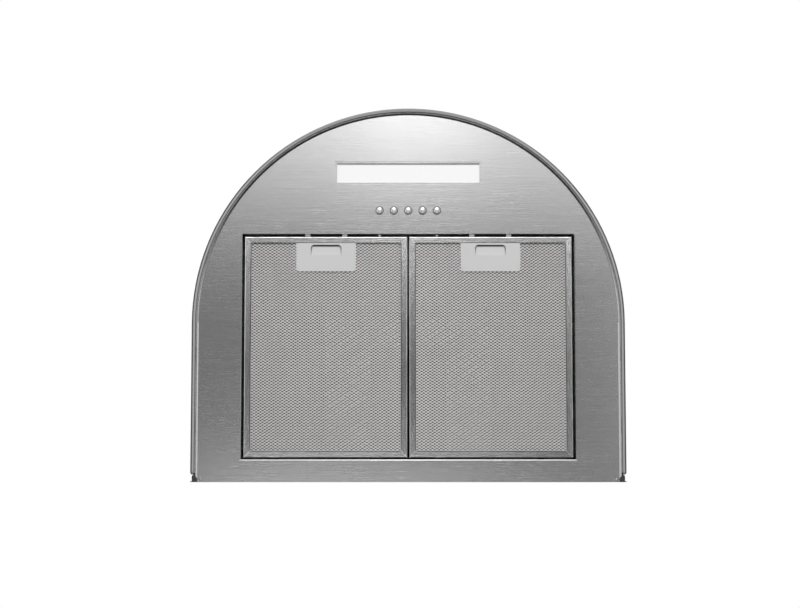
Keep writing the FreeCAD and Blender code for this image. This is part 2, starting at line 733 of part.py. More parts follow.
def filter_frame(side):
    """The roll-formed aluminium channel round the mesh, with two rear hooks and a front locating nib."""
    frame = filter_piece("filter_frame", side)
    frame.pad(rectangle(frame.sketch(), "filter_width", "filter_depth"), "filter_height")
    low = value("filter_height / 2")
    frame.dress("Fillet", "rail_bend", lambda edge: edge.BoundBox.ZMax < low)
    window = rectangle(frame.sketch(), "filter_width - 2 * rail_width", "filter_depth - 2 * rail_width")
    frame.cut(window, "filter_height")
    mitres = frame.sketch()
    for across in SIDES.values():
        for along in SIDES.values():
            mitre(mitres, across, along)
    frame.cut(mitres, "mitre_depth")
    channel = frame.sketch(level="rail_gauge")
    rectangle(channel, "filter_width - 2 * rail_gauge", "filter_depth - 2 * rail_gauge")
    frame.cut(channel, "filter_height - 2 * rail_gauge")
    hooks = frame.sketch(level=HOOK_BOTTOM)
    for end in SIDES.values():
        length = "(hook_reach + rail_gauge)"
        x = f"{end} * hook_spacing / 2"
        rectangle(hooks, "hook_width", length, x, f"filter_depth / 2 - rail_gauge + {length} / 2")
    frame.pad(hooks, "hook_gauge")
    nib = frame.sketch(level=TONGUE_BOTTOM)
    length = "(nib_reach + rail_gauge)"
    x = f"-({SIDES[side]}) * nib_offset"
    rectangle(nib, "nib_width", length, x, f"-filter_depth / 2 + rail_gauge - {length} / 2")
    frame.pad(nib, "tongue_gauge")
    slots = frame.sketch("XZ", "-filter_depth / 2 + 2 * rail_gauge")
    width, height = "tongue_width + tongue_slot_play", "tongue_gauge + 2 * seat_play"
    for end in SIDES.values():
        rectangle(slots, width, height, f"{end} * tongue_offset", f"{TONGUE_BOTTOM} + tongue_gauge / 2")
    frame.cut(slots, "3 * rail_gauge")


def filter_layer(name, side, bottom, height, bay):
    """One layer of the mesh pack. The lower ones are cut away round the latch."""
    layer = filter_piece(name, side, bottom)
    inside = "2 * (rail_gauge + mesh_play)"
    layer.pad(rectangle(layer.sketch(), f"filter_width - {inside}", f"filter_depth - {inside}"), height)
    if bay:
        depth = "(latch_bay_depth + rail_width)"
        room = rectangle(layer.sketch(), "latch_bay_width", depth, y=f"(-filter_depth + {depth}) / 2")
        layer.cut(room, height)


def filter_mesh(side):
    """Front mesh, inner layers and rear mesh, stacked in the channel of the frame."""
    rear_bottom = "filter_height - rail_gauge - mesh_gauge"
    core = "filter_height - 2 * rail_gauge - 2 * mesh_gauge"
    filter_layer("filter_front_mesh", side, "rail_gauge", "mesh_gauge", bay=True)
    filter_layer("filter_core", side, "rail_gauge + mesh_gauge", core, bay=True)
    filter_layer("filter_rear_mesh", side, rear_bottom, "mesh_gauge", bay=False)


def latch_plate(side):
    """The pressed cover of the latch, with the finger hole."""
    plate = filter_piece("latch_plate", side)
    front = "-filter_depth / 2 + rail_width"
    cover = rectangle(plate.sketch(), "latch_width", "latch_depth", y=f"{front} + latch_depth / 2")
    plate.pad(cover, "latch_gauge")
    rear = value(f"{front} + latch_depth")
    plate.dress("Fillet", "latch_corner", lambda edge: upright(edge) and edge.CenterOfMass.y > rear - 1)
    low = f"({front} + grip_inset)"
    high = f"({low} + grip_depth)"
    half, inner = "grip_width / 2", "(grip_width / 2 - grip_corner)"
    grip = outline(plate.sketch(), [
        (f"-{inner}", low), (inner, low, "grip_corner"), (half, f"{low} + grip_corner"),
        (half, high), (f"-{half}", high), (f"-{half}", f"{low} + grip_corner", "grip_corner"),
    ])
    plate.cut(grip, "latch_gauge")


def latch_slider(side):
    """The plate behind the finger hole, which a fingertip draws back against the spring."""
    slider = filter_piece("latch_slider", side, "latch_gauge + seat_play")
    front = "-filter_depth / 2 + rail_width + slider_inset"
    plan = rectangle(slider.sketch(), "slider_width", "slider_depth", y=f"{front} + slider_depth / 2")
    slider.pad(plan, "slider_height")


def latch_tongues(side):
    """A spring-steel yoke on the slider, whose two tongues reach over the front lip of the underside."""
    yoke = filter_piece("latch_tongues", side, TONGUE_BOTTOM)
    rear = "-filter_depth / 2 + rail_width + slider_inset + yoke_depth"
    strap = rectangle(yoke.sketch(), "yoke_width", "yoke_depth", y=f"{rear} - yoke_depth / 2")
    yoke.pad(strap, "tongue_gauge")
    tip = f"(filter_depth / 2 + filter_front_gap + steel_gauge + tongue_past_lip)"
    tongues = yoke.sketch()
    for end in SIDES.values():
        length = f"({tip} + {rear})"
        rectangle(tongues, "tongue_width", length, f"{end} * tongue_offset", f"-{tip} + {length} / 2")
    yoke.pad(tongues, "tongue_gauge")


def latch_spring(side):
    """A bowed leaf spring between the slider and the rear end of its bay. It pushes the tongues home."""
    spring = filter_piece("latch_spring", side, "latch_gauge + 2 * seat_play")
    crown = "(-filter_depth / 2 + rail_width + slider_inset + slider_depth + seat_play)"
    ends = "(-filter_depth / 2 + rail_width + latch_bay_depth - seat_play)"
    half, bow = "(spring_width / 2)", f"({ends} - {crown})"
    radius = f"({half} * {half} + {bow} * {bow}) / (2 * {bow})"
    inner_half, inner_bow = f"({half} - spring_gauge)", f"({bow} - spring_gauge)"
    inner = f"({inner_half} * {inner_half} + {inner_bow} * {inner_bow}) / (2 * {inner_bow})"
    profile = outline(spring.sketch(), [
        (f"-{half}", ends, radius), (half, ends),
        (inner_half, ends, f"-{inner}"), (f"-{inner_half}", ends),
    ])
    spring.pad(profile, "spring_height")


# ---- blower ----


def blower_box():
    """The folded steel box on the canopy that the blower hangs in, open below and at the wall."""
    box = Piece("blower_box", y="-back_gauge - box_depth / 2", z="canopy_height")
    width, depth = "box_width + 2 * box_flange", "box_depth + box_flange"
    box.pad(rectangle(box.sketch(), width, depth, y="-box_flange / 2"), "steel_gauge")
    box.pad(rectangle(box.sketch(), "box_width", "box_depth"), "box_height")
    hollow = rectangle(box.sketch(), "box_width - 2 * steel_gauge", "box_depth", y="steel_gauge")
    box.cut(hollow, "box_height - steel_gauge")
    middle = f"back_gauge + box_depth / 2 - {COLLAR_SETBACK}"
    width = f"2 * ({SCROLL_HALF} - scroll_wall - outlet_inset)"
    depth = f"{THROAT_FRONT} + scroll_step / 2 - 2 * outlet_inset"
    box.cut(rectangle(box.sketch(), width, depth, y=middle), "box_height")


def scroll_outline(sketch, wall):
    """The blower's volute by the four-centre rule: three quarter turns about the corners of a small square,
    each larger than the last by the same step, then a throat that rises to the outlet."""
    front = f"-({THROAT_FRONT} + {wall})"
    top = f"{BOX_TOP} - steel_gauge - fan_height"
    half = "scroll_step / 2"
    small = f"{SCROLL_START} + {wall}"
    tongue = f"{half} + {wall}"
    start = f"sqrt(({small}) ^ 2 - ({wall}) ^ 2) - {half}"
    return outline(sketch, [
        (front, top),
        (front, half, f"{small} + 2 * scroll_step"),
        (f"-{half}", f"-({small} + 1.5 * scroll_step)", f"{small} + scroll_step"),
        (f"{small} + {half}", f"-{half}", small),
        (tongue, start),
        (tongue, top),
    ])


def scroll(side):
    """One moulded half of the volute: a side wall with a lipped inlet, and its half of the rim."""
    left, cavity, lip = {
        "left": (f"-{SCROLL_HALF}", "scroll_wall", "0"),
        "right": ("0", "0", f"{SCROLL_HALF} - inlet_lip"),
    }[side]
    half = Piece(f"scroll_{side}", left, f"-{FAN_SETBACK}", "fan_height")
    half.pad(scroll_outline(half.sketch("YZ"), "scroll_wall"), SCROLL_HALF)
    half.cut(scroll_outline(half.sketch("YZ", cavity), "0"), f"{SCROLL_HALF} - scroll_wall")
    half.pad(circle(half.sketch("YZ", lip), f"{INLET_RADIUS} + scroll_wall"), "inlet_lip")
    half.cut(circle(half.sketch("YZ", lip), INLET_RADIUS), "inlet_lip")


def impeller():
    """The double-inlet forward-curved wheel: a central disc and hub, two end rings and curved blades."""
    wheel = Piece("impeller", y=f"-{FAN_SETBACK}", z="fan_height")
    wheel.pad(circle(wheel.sketch("YZ", "-disc_gauge / 2"), "blade_inner + disc_bite"), "disc_gauge")
    wheel.pad(circle(wheel.sketch("YZ", "-disc_gauge / 2"), "hub_radius"), "hub_length")
    turn = "180 / pi * blade_gauge"
    outer_angle = f"(blade_sweep + {turn} / blade_outer)"
    inner_angle = f"({turn} / blade_inner)"
    back_bow = "-(blade_bow - blade_gauge)"
    blade_end = "(impeller_half - ring_gauge)"
    blade = outline(wheel.sketch("YZ", f"-{blade_end}"), [
        ("blade_inner", "0", "blade_bow"),
        ("blade_outer * cos(blade_sweep)", "blade_outer * sin(blade_sweep)"),
        (f"blade_outer * cos{outer_angle}", f"blade_outer * sin{outer_angle}", back_bow),
        (f"blade_inner * cos{inner_angle}", f"blade_inner * sin{inner_angle}"),
    ])
    wheel.pattern(wheel.pad(blade, f"2 * {blade_end}"), "blade_count")
    for level in ("-impeller_half", blade_end):
        ring = wheel.sketch("YZ", level)
        circle(ring, RING_OUTER)
        circle(ring, f"{RING_OUTER} - ring_width")
        wheel.pad(ring, "ring_gauge")
    bore = circle(wheel.sketch("YZ", "-disc_gauge / 2"), "shaft_radius")
    wheel.cut(bore, "hub_length")


def motor():
    """The capacitor motor in the left inlet: a round can with a stepped nose, bored for its shaft."""
    left = "-disc_gauge / 2 - motor_disc_gap - motor_nose - motor_length"
    can = Piece("motor", left, f"-{FAN_SETBACK}", "fan_height")
    can.pad(circle(can.sketch("YZ"), "motor_radius"), "motor_length")
    can.dress("Chamfer", "motor_bevel", lambda edge: edge.Closed and not upright(edge))
    can.pad(circle(can.sketch("YZ", "motor_length"), "motor_nose_radius"), "motor_nose")
    can.cut(circle(can.sketch("YZ"), "shaft_radius + shaft_play"), "motor_length + motor_nose")


def motor_shaft():
    """The steel shaft that turns in the motor and carries the impeller's hub."""
    left = "-disc_gauge / 2 - motor_disc_gap - motor_nose - motor_length - shaft_tail"
    shaft = Piece("motor_shaft", left, f"-{FAN_SETBACK}", "fan_height")
    length = f"hub_length - disc_gauge / 2 - ({left})"
    shaft.pad(circle(shaft.sketch("YZ"), "shaft_radius"), length)


def motor_bracket():
    """The three-armed spider that hangs the motor in the blower's left inlet."""
    spider = Piece("motor_bracket", f"-{SCROLL_HALF} - spider_gauge", f"-{FAN_SETBACK}", "fan_height")
    spider.pad(circle(spider.sketch("YZ"), "motor_radius + spider_rim"), "spider_gauge")
    reach = f"({INLET_RADIUS} + spider_grip)"
    arm = rectangle(spider.sketch("YZ"), reach, "spider_arm", x=f"{reach} / 2")
    spider.pattern(spider.pad(arm, "spider_gauge"), "3")
    spider.cut(circle(spider.sketch("YZ"), "motor_radius + pad_play"), "spider_gauge")


def outlet_collar():
    """The moulded spigot that the duct goes over, with pin holes and a ledge for its flaps."""
    collar = Piece("outlet_collar", y=f"-{COLLAR_SETBACK}", z=BOX_TOP)
    bore = "(collar_radius - collar_wall)"
    collar.pad(circle(collar.sketch(), "collar_radius + collar_flange"), "collar_base")
    collar.pad(circle(collar.sketch(), "collar_radius"), "collar_height")
    collar.cut(circle(collar.sketch(), bore), "collar_height")
    ledge_bottom = "(flap_rise - flap_gauge / 2 - seat_play - ledge_gauge)"
    ledge = collar.sketch(level=ledge_bottom)
    circle(ledge, "collar_radius - collar_wall / 2")
    circle(ledge, f"{bore} - ledge_width")
    collar.pad(ledge, "ledge_gauge")
    room = collar.sketch(level=ledge_bottom)
    collar.cut(rectangle(room, f"2 * {bore}", "2 * (knuckle_radius + knuckle_gap)"), "ledge_gauge")
    pin_holes = collar.sketch("YZ", "-collar_radius")
    collar.cut(circle(pin_holes, "pin_radius + pad_play", y="flap_rise"), "2 * collar_radius")


def damper_pin():
    """The steel wire pin across the collar."""
    pin = Piece("damper_pin", "-collar_radius", f"-{COLLAR_SETBACK}", FLAP_LEVEL)
    pin.pad(circle(pin.sketch("YZ"), "pin_radius"), "2 * collar_radius")


def damper_flap(place):
    """A half-round flap with two knuckles on the pin. The two flaps' knuckles take turns along it."""
    flap = Piece(f"damper_flap_{place}", y=f"-{COLLAR_SETBACK}", z=FLAP_LEVEL)
    side = {"front": "-1", "rear": "1"}[place]
    edge = "(knuckle_radius - knuckle_bite)"
    reach = f"({side} * sqrt({FLAP_RADIUS} ^ 2 - {edge} ^ 2))"
    plan = outline(flap.sketch(level="-flap_gauge / 2"), [
        (f"-{reach}", f"{side} * {edge}"), (reach, f"{side} * {edge}", FLAP_RADIUS),
        ("0", f"{side} * {FLAP_RADIUS}", FLAP_RADIUS),
    ])
    flap.pad(plan, "flap_gauge")
    quarter = f"({FLAP_RADIUS} / 2)"
    whole = f"({quarter} - knuckle_gap)"
    knuckles = {
        "rear": [(f"-2 * {quarter} + knuckle_end", f"{whole} - knuckle_end"), ("0", whole)],
        "front": [(f"-{quarter}", whole), (quarter, f"{whole} - knuckle_end")],
    }
    room = flap.sketch(level="-flap_gauge / 2")
    for start, length in knuckles["front" if place == "rear" else "rear"]:
        width = f"{length} + 2 * knuckle_gap"
        rectangle(room, width, "2 * (knuckle_radius + knuckle_gap)", f"{start} + ({length}) / 2")
    flap.cut(room, "flap_gauge")
    for start, length in knuckles[place]:
        flap.pad(circle(flap.sketch("YZ", start), "knuckle_radius"), length)
    bore = circle(flap.sketch("YZ", f"-{FLAP_RADIUS}"), "pin_radius + knuckle_play")
    flap.cut(bore, f"2 * {FLAP_RADIUS}")


def terminal_box():
    """The moulded mains connection box on the blower box, with a cable inlet in its top."""
    x = "terminal_inset + (terminal_width - box_width) / 2"
    y = "-back_gauge - terminal_setback - terminal_depth / 2"
    box = Piece("terminal_box", x, y, BOX_TOP)
    box.pad(rectangle(box.sketch(), "terminal_width", "terminal_depth"), "terminal_height")
    box.dress("Fillet", "terminal_corner", upright)
    floor = box.sketch(level="terminal_height - cable_inlet_depth")
    box.cut(circle(floor, "cable_inlet_radius", x="-cable_inlet_offset"), "cable_inlet_depth")


def capacitor():
    """The motor's run capacitor, standing on the blower box."""
    x = "box_width / 2 - capacitor_inset - capacitor_radius"
    can = Piece("capacitor", x, "-capacitor_setback", BOX_TOP)
    can.pad(circle(can.sketch(), "capacitor_radius"), "capacitor_height")
    can.dress("Chamfer", "capacitor_bevel", lambda edge: edge.Closed and edge.CenterOfMass.z > 10)
    tabs = can.sketch(level="capacitor_height")
    for side in SIDES.values():
        rectangle(tabs, "tab_gauge", "tab_width", x=f"{side} * tab_pitch / 2")
    can.pad(tabs, "tab_height")


# ---- chimney ----


def chimney_section(sketch, half, front, rear, gauge):
    """A three-sided cover with a narrow return along the wall on each side."""
    inner, turn = f"({half} - {gauge})", f"({half} - chimney_return)"
    back, nose = f"({rear} - {gauge})", f"({front} + {gauge})"
    return outline(sketch, [
        (f"-{half}", front), (half, front), (half, rear), (turn, rear), (turn, back), (inner, back),
        (inner, nose), (f"-{inner}", nose), (f"-{inner}", back), (f"-{turn}", back), (f"-{turn}", rear),
        (f"-{half}", rear),
    ])


def chimney_lower():
    """The fixed lower cover of the chimney, which stands on the canopy."""
    cover = Piece("chimney_lower", z="canopy_height")
    plan = chimney_section(cover.sketch(), CHIMNEY_HALF, f"(-{CHIMNEY_DEPTH})", "0", "steel_gauge")
    cover.pad(plan, "chimney_height")


def chimney_upper():
    """The upper cover, which slides up inside the lower one to meet the ceiling. The vents in its sides
    let the air out when no duct is fitted."""
    cover = Piece("chimney_upper", z="canopy_height + steel_gauge + seat_play")
    inset = "(steel_gauge + chimney_play)"
    half, front = f"({CHIMNEY_HALF} - {inset})", f"(-{CHIMNEY_DEPTH} + {inset})"
    plan = chimney_section(cover.sketch(), half, front, f"(-{inset})", "steel_gauge")
    cover.pad(plan, "chimney_upper_height")
    vents = cover.sketch("YZ", f"-{half}")
    for place in range(round(value("vent_count"))):
        height = f"chimney_upper_height - vent_drop - {place} * vent_pitch"
        rectangle(vents, "vent_width", "vent_height", f"{front} / 2", height)
    cover.cut(vents, f"2 * {half}")


def chimney_bracket():
    """The wall bracket that the top of the upper cover is screwed to."""
    top = "(canopy_height + steel_gauge + seat_play + chimney_upper_height - wall_bracket_drop)"
    bracket = Piece("chimney_bracket", z=f"{top} - wall_bracket_height")
    half = f"({CHIMNEY_HALF} - 2 * steel_gauge - chimney_play - seat_play)"
    wall = "(-2 * steel_gauge - chimney_play - seat_play)"
    inner, face = f"({half} - back_gauge)", f"({wall} - back_gauge)"
    ear = f"({face} - wall_bracket_ear)"
    plan = outline(bracket.sketch(), [
        (f"-{half}", ear), (f"-{inner}", ear), (f"-{inner}", face), (inner, face),
        (inner, ear), (half, ear), (half, wall), (f"-{half}", wall),
    ])
    bracket.pad(plan, "wall_bracket_height")
    bosses = bracket.sketch("XZ")
    holes = bracket.sketch("XZ")
    for side in SIDES.values():
        spot = (f"{side} * wall_bracket_pitch / 2", "wall_bracket_height / 2")
        circle(bosses, "wall_bracket_boss", *spot)
        circle(holes, "wall_bracket_hole", *spot)
    bracket.pad(bosses, f"-{wall}")
    bracket.cut(holes, f"-{face}")


underside_pan()
canopy_shell()
back_panel()
glass_fascia()
glass_pads()
lamp_lens()
lamp_housing()
lamp_reflector()
lamp_tube()
lamp_holder()
button_bezels()
switch_body()
switch_bracket()
for number in range(1, 6):
    push_button(number)
for side in SIDES:
    glass_end_cap(side)
    filter_frame(side)
    filter_mesh(side)
    latch_plate(side)
    latch_slider(side)
    latch_tongues(side)
    latch_spring(side)
    scroll(side)
blower_box()
impeller()
motor()
motor_shaft()
motor_bracket()
outlet_collar()
damper_pin()
damper_flap("front")
damper_flap("rear")
terminal_box()
capacitor()
chimney_lower()
chimney_upper()
chimney_bracket()

doc.recompute()
for thing in doc.Objects:
    if "Invalid" in thing.State or "Error" in thing.State:
        raise RuntimeError(f"{thing.Label} did not build: {thing.State}")
for node in nodes:
    if node.Shape.isNull() or not node.Shape.isValid():
        raise RuntimeError(f"{node.Label} has no sound shape")
os.makedirs("parts", exist_ok=True)
for node in nodes:
    node.Shape.exportStep(f"parts/{node.Label}.step")
    print(node.Label, len(node.Shape.Solids), round(node.Shape.Volume))
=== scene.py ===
import math

import bmesh
import bpy
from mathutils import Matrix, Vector


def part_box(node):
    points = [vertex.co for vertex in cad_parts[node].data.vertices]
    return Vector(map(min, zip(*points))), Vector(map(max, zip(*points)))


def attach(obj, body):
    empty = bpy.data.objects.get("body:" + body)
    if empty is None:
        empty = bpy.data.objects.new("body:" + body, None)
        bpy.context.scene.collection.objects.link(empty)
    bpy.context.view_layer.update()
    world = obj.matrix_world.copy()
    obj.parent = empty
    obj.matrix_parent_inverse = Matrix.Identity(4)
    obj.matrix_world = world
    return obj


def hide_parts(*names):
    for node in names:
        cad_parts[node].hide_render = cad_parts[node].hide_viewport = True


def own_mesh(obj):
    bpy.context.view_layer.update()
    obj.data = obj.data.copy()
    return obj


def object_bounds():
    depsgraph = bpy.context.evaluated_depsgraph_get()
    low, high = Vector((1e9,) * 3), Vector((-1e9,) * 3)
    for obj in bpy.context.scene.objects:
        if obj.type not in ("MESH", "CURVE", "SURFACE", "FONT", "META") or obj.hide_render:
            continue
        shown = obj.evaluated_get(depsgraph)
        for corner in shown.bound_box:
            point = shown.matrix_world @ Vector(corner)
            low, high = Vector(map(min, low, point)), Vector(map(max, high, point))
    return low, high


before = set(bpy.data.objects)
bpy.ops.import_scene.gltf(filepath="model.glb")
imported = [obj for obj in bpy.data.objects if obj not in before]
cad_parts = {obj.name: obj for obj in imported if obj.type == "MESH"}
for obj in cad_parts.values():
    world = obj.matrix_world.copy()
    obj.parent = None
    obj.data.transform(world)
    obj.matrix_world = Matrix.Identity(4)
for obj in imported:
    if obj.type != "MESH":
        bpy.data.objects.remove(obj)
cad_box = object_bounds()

MM = 0.001

# ---- the studio ----
# The photograph looks straight up from a little under two metres, so the camera stands low and near the wall.
# Soft lights lie low all round, and two large dim ones hang above for the chimney. The pale floor is hidden
# from reflections and bounce light, so that it leaves the underside alone.

pan_low, pan_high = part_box("underside_pan")
glass_low, glass_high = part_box("glass_fascia")

VIEW_DISTANCE = 1.9
VIEW_TILT = math.radians(4.0)
VIEW_LENS = 61.7
VIEW_AIM = Vector((-11.5 * MM, -245.4 * MM, pan_low.z))


def put(name, data):
    """A new object in the scene, at the origin."""
    thing = bpy.data.objects.new(name, data)
    bpy.context.scene.collection.objects.link(thing)
    return thing


camera = put("camera", bpy.data.cameras.new("camera"))
camera.data.lens = VIEW_LENS
camera.data.clip_start = 0.05
camera.data.clip_end = 60
sight = Vector((0, -math.sin(VIEW_TILT), math.cos(VIEW_TILT)))
camera.location = VIEW_AIM - VIEW_DISTANCE * sight
camera.rotation_euler = (math.pi + VIEW_TILT, 0, 0)
bpy.context.scene.camera = camera
bpy.context.scene.view_settings.view_transform = "Standard"

for name, place, aim, width, depth, power in (
    ("front_light", (0.05, -1.08, -1.9), (0.05, -0.45, -0.2), 1.5, 0.8, 4.5),
    ("strip_light", (0.02, -1.1, -1.85), (0.02, -0.45, -0.2), 0.3, 0.7, 1.05),
    ("near_light", (0, -2.0, -1.5), (0, -0.3, -0.2), 1.6, 0.8, 22),
    ("rear_low_light", (-0.12, 0.5, -1.9), (-0.05, -0.05, -0.2), 0.9, 0.6, 2.6),
    ("right_low_light", (0.85, -0.3, -1.75), (0.1, -0.25, -0.2), 1.2, 0.4, 1.2),
    ("left_low_light", (-1.6, -0.35, -1.6), (0, -0.3, -0.2), 1.3, 0.8, 2.6),
    ("right_light", (1.8, -0.45, -0.5), (0, -0.45, -0.3), 1.7, 0.6, 2.2),
    ("left_light", (-1.8, -0.45, -0.5), (0, -0.45, -0.3), 1.7, 0.6, 1.9),
    ("high_light", (-1.4, -2.6, 2.6), (0, -0.2, 0.2), 4.0, 2.6, 17),
    ("back_light", (1.8, 2.4, 1.9), (0, 0, 0.2), 3.4, 2.4, 13),
):
    lamp = bpy.data.lights.new(name, "AREA")
    lamp.shape = "RECTANGLE"
    lamp.size, lamp.size_y = width, depth
    lamp.energy = power
    holder = put(name, lamp)
    holder.location = place
    holder.visible_camera = False
    holder.rotation_euler = (Vector(aim) - Vector(place)).to_track_quat("-Z", "Y").to_euler()


class Signal:
    """One output of a node tree. Python's operators on signals add the Math nodes for them."""

    def __init__(self, graph, socket):
        self.graph, self.socket = graph, socket

    def twin(self, name):
        """Another output of the same node."""
        return Signal(self.graph, self.socket.node.outputs[name])

    def math(self, operation, *others):
        return self.graph.add("ShaderNodeMath", {"operation": operation}, dict(enumerate((self, *others))))

    def __add__(self, other):
        return self.math("ADD", other)

    def __sub__(self, other):
        return self.math("SUBTRACT", other)

    def __mul__(self, other):
        return self.math("MULTIPLY", other)

    def __mod__(self, other):
        return self.math("MODULO", other)

    def __gt__(self, other):
        return self.math("GREATER_THAN", other)

    def __lt__(self, other):
        return self.math("LESS_THAN", other)

    def __rsub__(self, other):
        return self * -1 + other

    def __abs__(self):
        return self.math("ABSOLUTE")

    __radd__ = __add__
    __rmul__ = __mul__


class Graph:
    """A node tree under construction. add() makes any node and returns one of its outputs as a signal."""

    def __init__(self, tree):
        self.tree = tree

    def add(self, kind, settings={}, inputs={}, output=0):
        node = self.tree.nodes.new(kind)
        for name, setting in settings.items():
            setattr(node, name, setting)
        for name, source in inputs.items():
            self.feed(node.inputs[name], source)
        return Signal(self, node.outputs[output]) if node.outputs else None

    def feed(self, socket, source):
        if isinstance(source, Signal):
            self.tree.links.new(source.socket, socket)
        else:
            socket.default_value = source


def finish(name, **constants):
    """A new material, its graph and its surface shader, whose constant sockets are set here."""
    material = bpy.data.materials.new(name)
    material.use_nodes = True
    surface = material.node_tree.nodes["Principled BSDF"]
    graph = Graph(material.node_tree)
    coat(graph, surface, **constants)
    return material, graph, surface


def coat(graph, surface, **sources):
    """Feeds sockets of a surface shader, such as Base_Color, Roughness and Normal."""
    for socket, source in sources.items():
        graph.feed(surface.inputs[socket.replace("_", " ")], source)


def place_on_piece(graph, *stretch):
    """Object coordinates, multiplied along X, Y and Z."""
    coordinates = graph.add("ShaderNodeTexCoord", output="Object")
    return graph.add("ShaderNodeMapping", {}, {"Vector": coordinates, "Scale": stretch})


def position(graph):
    """The X, Y and Z of the shaded point, in metres."""
    x = graph.add("ShaderNodeSeparateXYZ", {}, {"Vector": place_on_piece(graph, 1, 1, 1)}, "X")
    return x, x.twin("Y"), x.twin("Z")


def cloud(graph, place, detail=2.0):
    """Soft random spots, 0 to 1, about one to a unit of place."""
    return graph.add("ShaderNodeTexNoise", {}, {"Vector": place, "Scale": 1.0, "Detail": detail})


def specks(graph, density):
    """Soft random spots, 0 to 1, density of them to a metre in every direction."""
    return cloud(graph, place_on_piece(graph, density, density, density))


def ramp(graph, value, start, end, low=0.0, high=1.0, smooth=False):
    """Runs from low to high as value goes from start to end, and stays level beyond them."""
    kind = {"interpolation_type": "SMOOTHSTEP" if smooth else "LINEAR"}
    limits = {"From Min": start, "From Max": end, "To Min": low, "To Max": high}
    return graph.add("ShaderNodeMapRange", kind, {"Value": value, **limits})


def bump(graph, height, strength, distance):
    inputs = {"Height": height, "Strength": strength, "Distance": distance}
    return graph.add("ShaderNodeBump", {}, inputs)


def grey(tone):
    return (tone, tone, tone, 1)


def between(graph, share, first, second):
    """A colour that runs from first to second as share goes from 0 to 1."""
    return graph.add("ShaderNodeMix", {"data_type": "RGBA"}, {0: share, 6: first, 7: second}, 2)


def varied(graph, share, tone, contrast):
    """A grey that varies by contrast, a part of its tone, to either side."""
    return between(graph, share, grey(tone * (1 - contrast)), grey(tone * (1 + contrast)))


def dress(material, *names):
    """Gives a finish to pieces of the frame."""
    for name in names:
        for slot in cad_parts[name].material_slots:
            slot.material = material


BELOW, AROUND, ABOVE = 0.19, 0.5, 0.75
BELOW_UP_TO, AROUND_FROM, ABOVE_FROM = -0.85, -0.45, 0.9
WALL_SIDE, WALL_SIDE_FROM = 0.5, 0.8
world = bpy.data.worlds.new("studio")
bpy.context.scene.world = world
world.use_nodes = True
world.node_tree.nodes.clear()
sky = Graph(world.node_tree)
rise = sky.add("ShaderNodeSeparateXYZ", {}, {"Vector": sky.add("ShaderNodeTexCoord")}, "Z")
toward_wall = ramp(sky, rise.twin("Y"), 0.0, WALL_SIDE_FROM)
lower = ramp(sky, rise, BELOW_UP_TO, AROUND_FROM, smooth=True)
upper = ramp(sky, rise, 0.0, ABOVE_FROM, smooth=True)
shade_below = lower * (1 - upper) * toward_wall * WALL_SIDE
glow = (BELOW + lower * (AROUND - BELOW)) * (1 - shade_below) + upper * (ABOVE - AROUND)
seen = sky.add("ShaderNodeLightPath", output="Is Camera Ray")
white = sky.add("ShaderNodeBackground", {}, {"Color": grey(1.0), "Strength": 1.0})
dim = sky.add("ShaderNodeBackground", {}, {"Color": grey(1.0), "Strength": glow})
mixed = sky.add("ShaderNodeMixShader", {}, {0: seen, 1: dim, 2: white})
sky.add("ShaderNodeOutputWorld", {}, {"Surface": mixed})

FLOOR_LEVEL = -2.3
FLOOR_HALF = 14
PAPER_DARK, PAPER_LIGHT = 0.84, 0.88
PAPER_MOTTLE = 3
floor_mesh = bpy.data.meshes.new("floor")
corners = [(x * FLOOR_HALF, y * FLOOR_HALF, FLOOR_LEVEL) for x, y in ((-1, -1), (1, -1), (1, 1), (-1, 1))]
floor_mesh.from_pydata(corners, [], [(0, 1, 2, 3)])
floor = put("floor", floor_mesh)
paper, graph, surface = finish("floor_paper", Roughness=0.9)
mottle = specks(graph, PAPER_MOTTLE)
coat(graph, surface, Base_Color=between(graph, mottle, grey(PAPER_DARK), grey(PAPER_LIGHT)))
floor_mesh.materials.append(paper)
floor.visible_glossy = False
floor.visible_diffuse = False

# ---- canopy: underside, shell and back ----
# One-millimetre stainless sheet, brushed from side to side. The underside has a folded hem, a rolled edge
# round the lamp's window and an edge pressed in round the filters, and is riveted at its rear corners.

ALONG_X = (0.02, 1, 1)
ALONG_Z = (1, 1, 0.02)
FINE_GRAIN, COARSE_GRAIN, PATCHES = 2600, 520, 9
FINE_SHARE = 0.6
STEEL_TONE, STEEL_CONTRAST = 0.56, 0.16
STEEL_ROUGH = 0.19
# share of the steel's tone left in the painted shade on the front stretch of the hem
HEM_SHADE_TONE = 0.2
GRAIN_DEPTH = 0.2 * MM


def brushed_steel(name, grain, relief, hem=None):
    """Stainless steel sheet with a straight grain. grain multiplies X, Y and Z: small along the grain."""
    material, graph, surface = finish(name, Metallic=1.0)
    fine = cloud(graph, place_on_piece(graph, *(size * FINE_GRAIN for size in grain)), 3.0)
    coarse = cloud(graph, place_on_piece(graph, *(size * COARSE_GRAIN for size in grain)))
    streaks = fine * FINE_SHARE + coarse * (1 - FINE_SHARE)
    shade = varied(graph, streaks, STEEL_TONE, STEEL_CONTRAST)
    # hem, when given, is a mask of painted shade: the sheet is painted dark where it is 1
    if hem:
        shade = between(graph, hem(graph), shade, grey(STEEL_TONE * HEM_SHADE_TONE))
    roughness = STEEL_ROUGH + streaks * 0.1 + specks(graph, PATCHES) * 0.04
    grooves = bump(graph, streaks, relief, GRAIN_DEPTH)
    coat(graph, surface, Base_Color=shade, Roughness=roughness, Normal=grooves)
    return material


HEM_INSET = 9.6 * MM
HEM_DARK_FROM, HEM_DARK_TO = -260 * MM, -400 * MM
BEND_CENTRE = -220 * MM


def from_bend(x, y):
    """The distance from the D's centre in front of it, and from the middle plane behind it."""
    ahead = (y - BEND_CENTRE) * (1 - (y > BEND_CENTRE))
    return (x * x + ahead * ahead).math("SQRT")


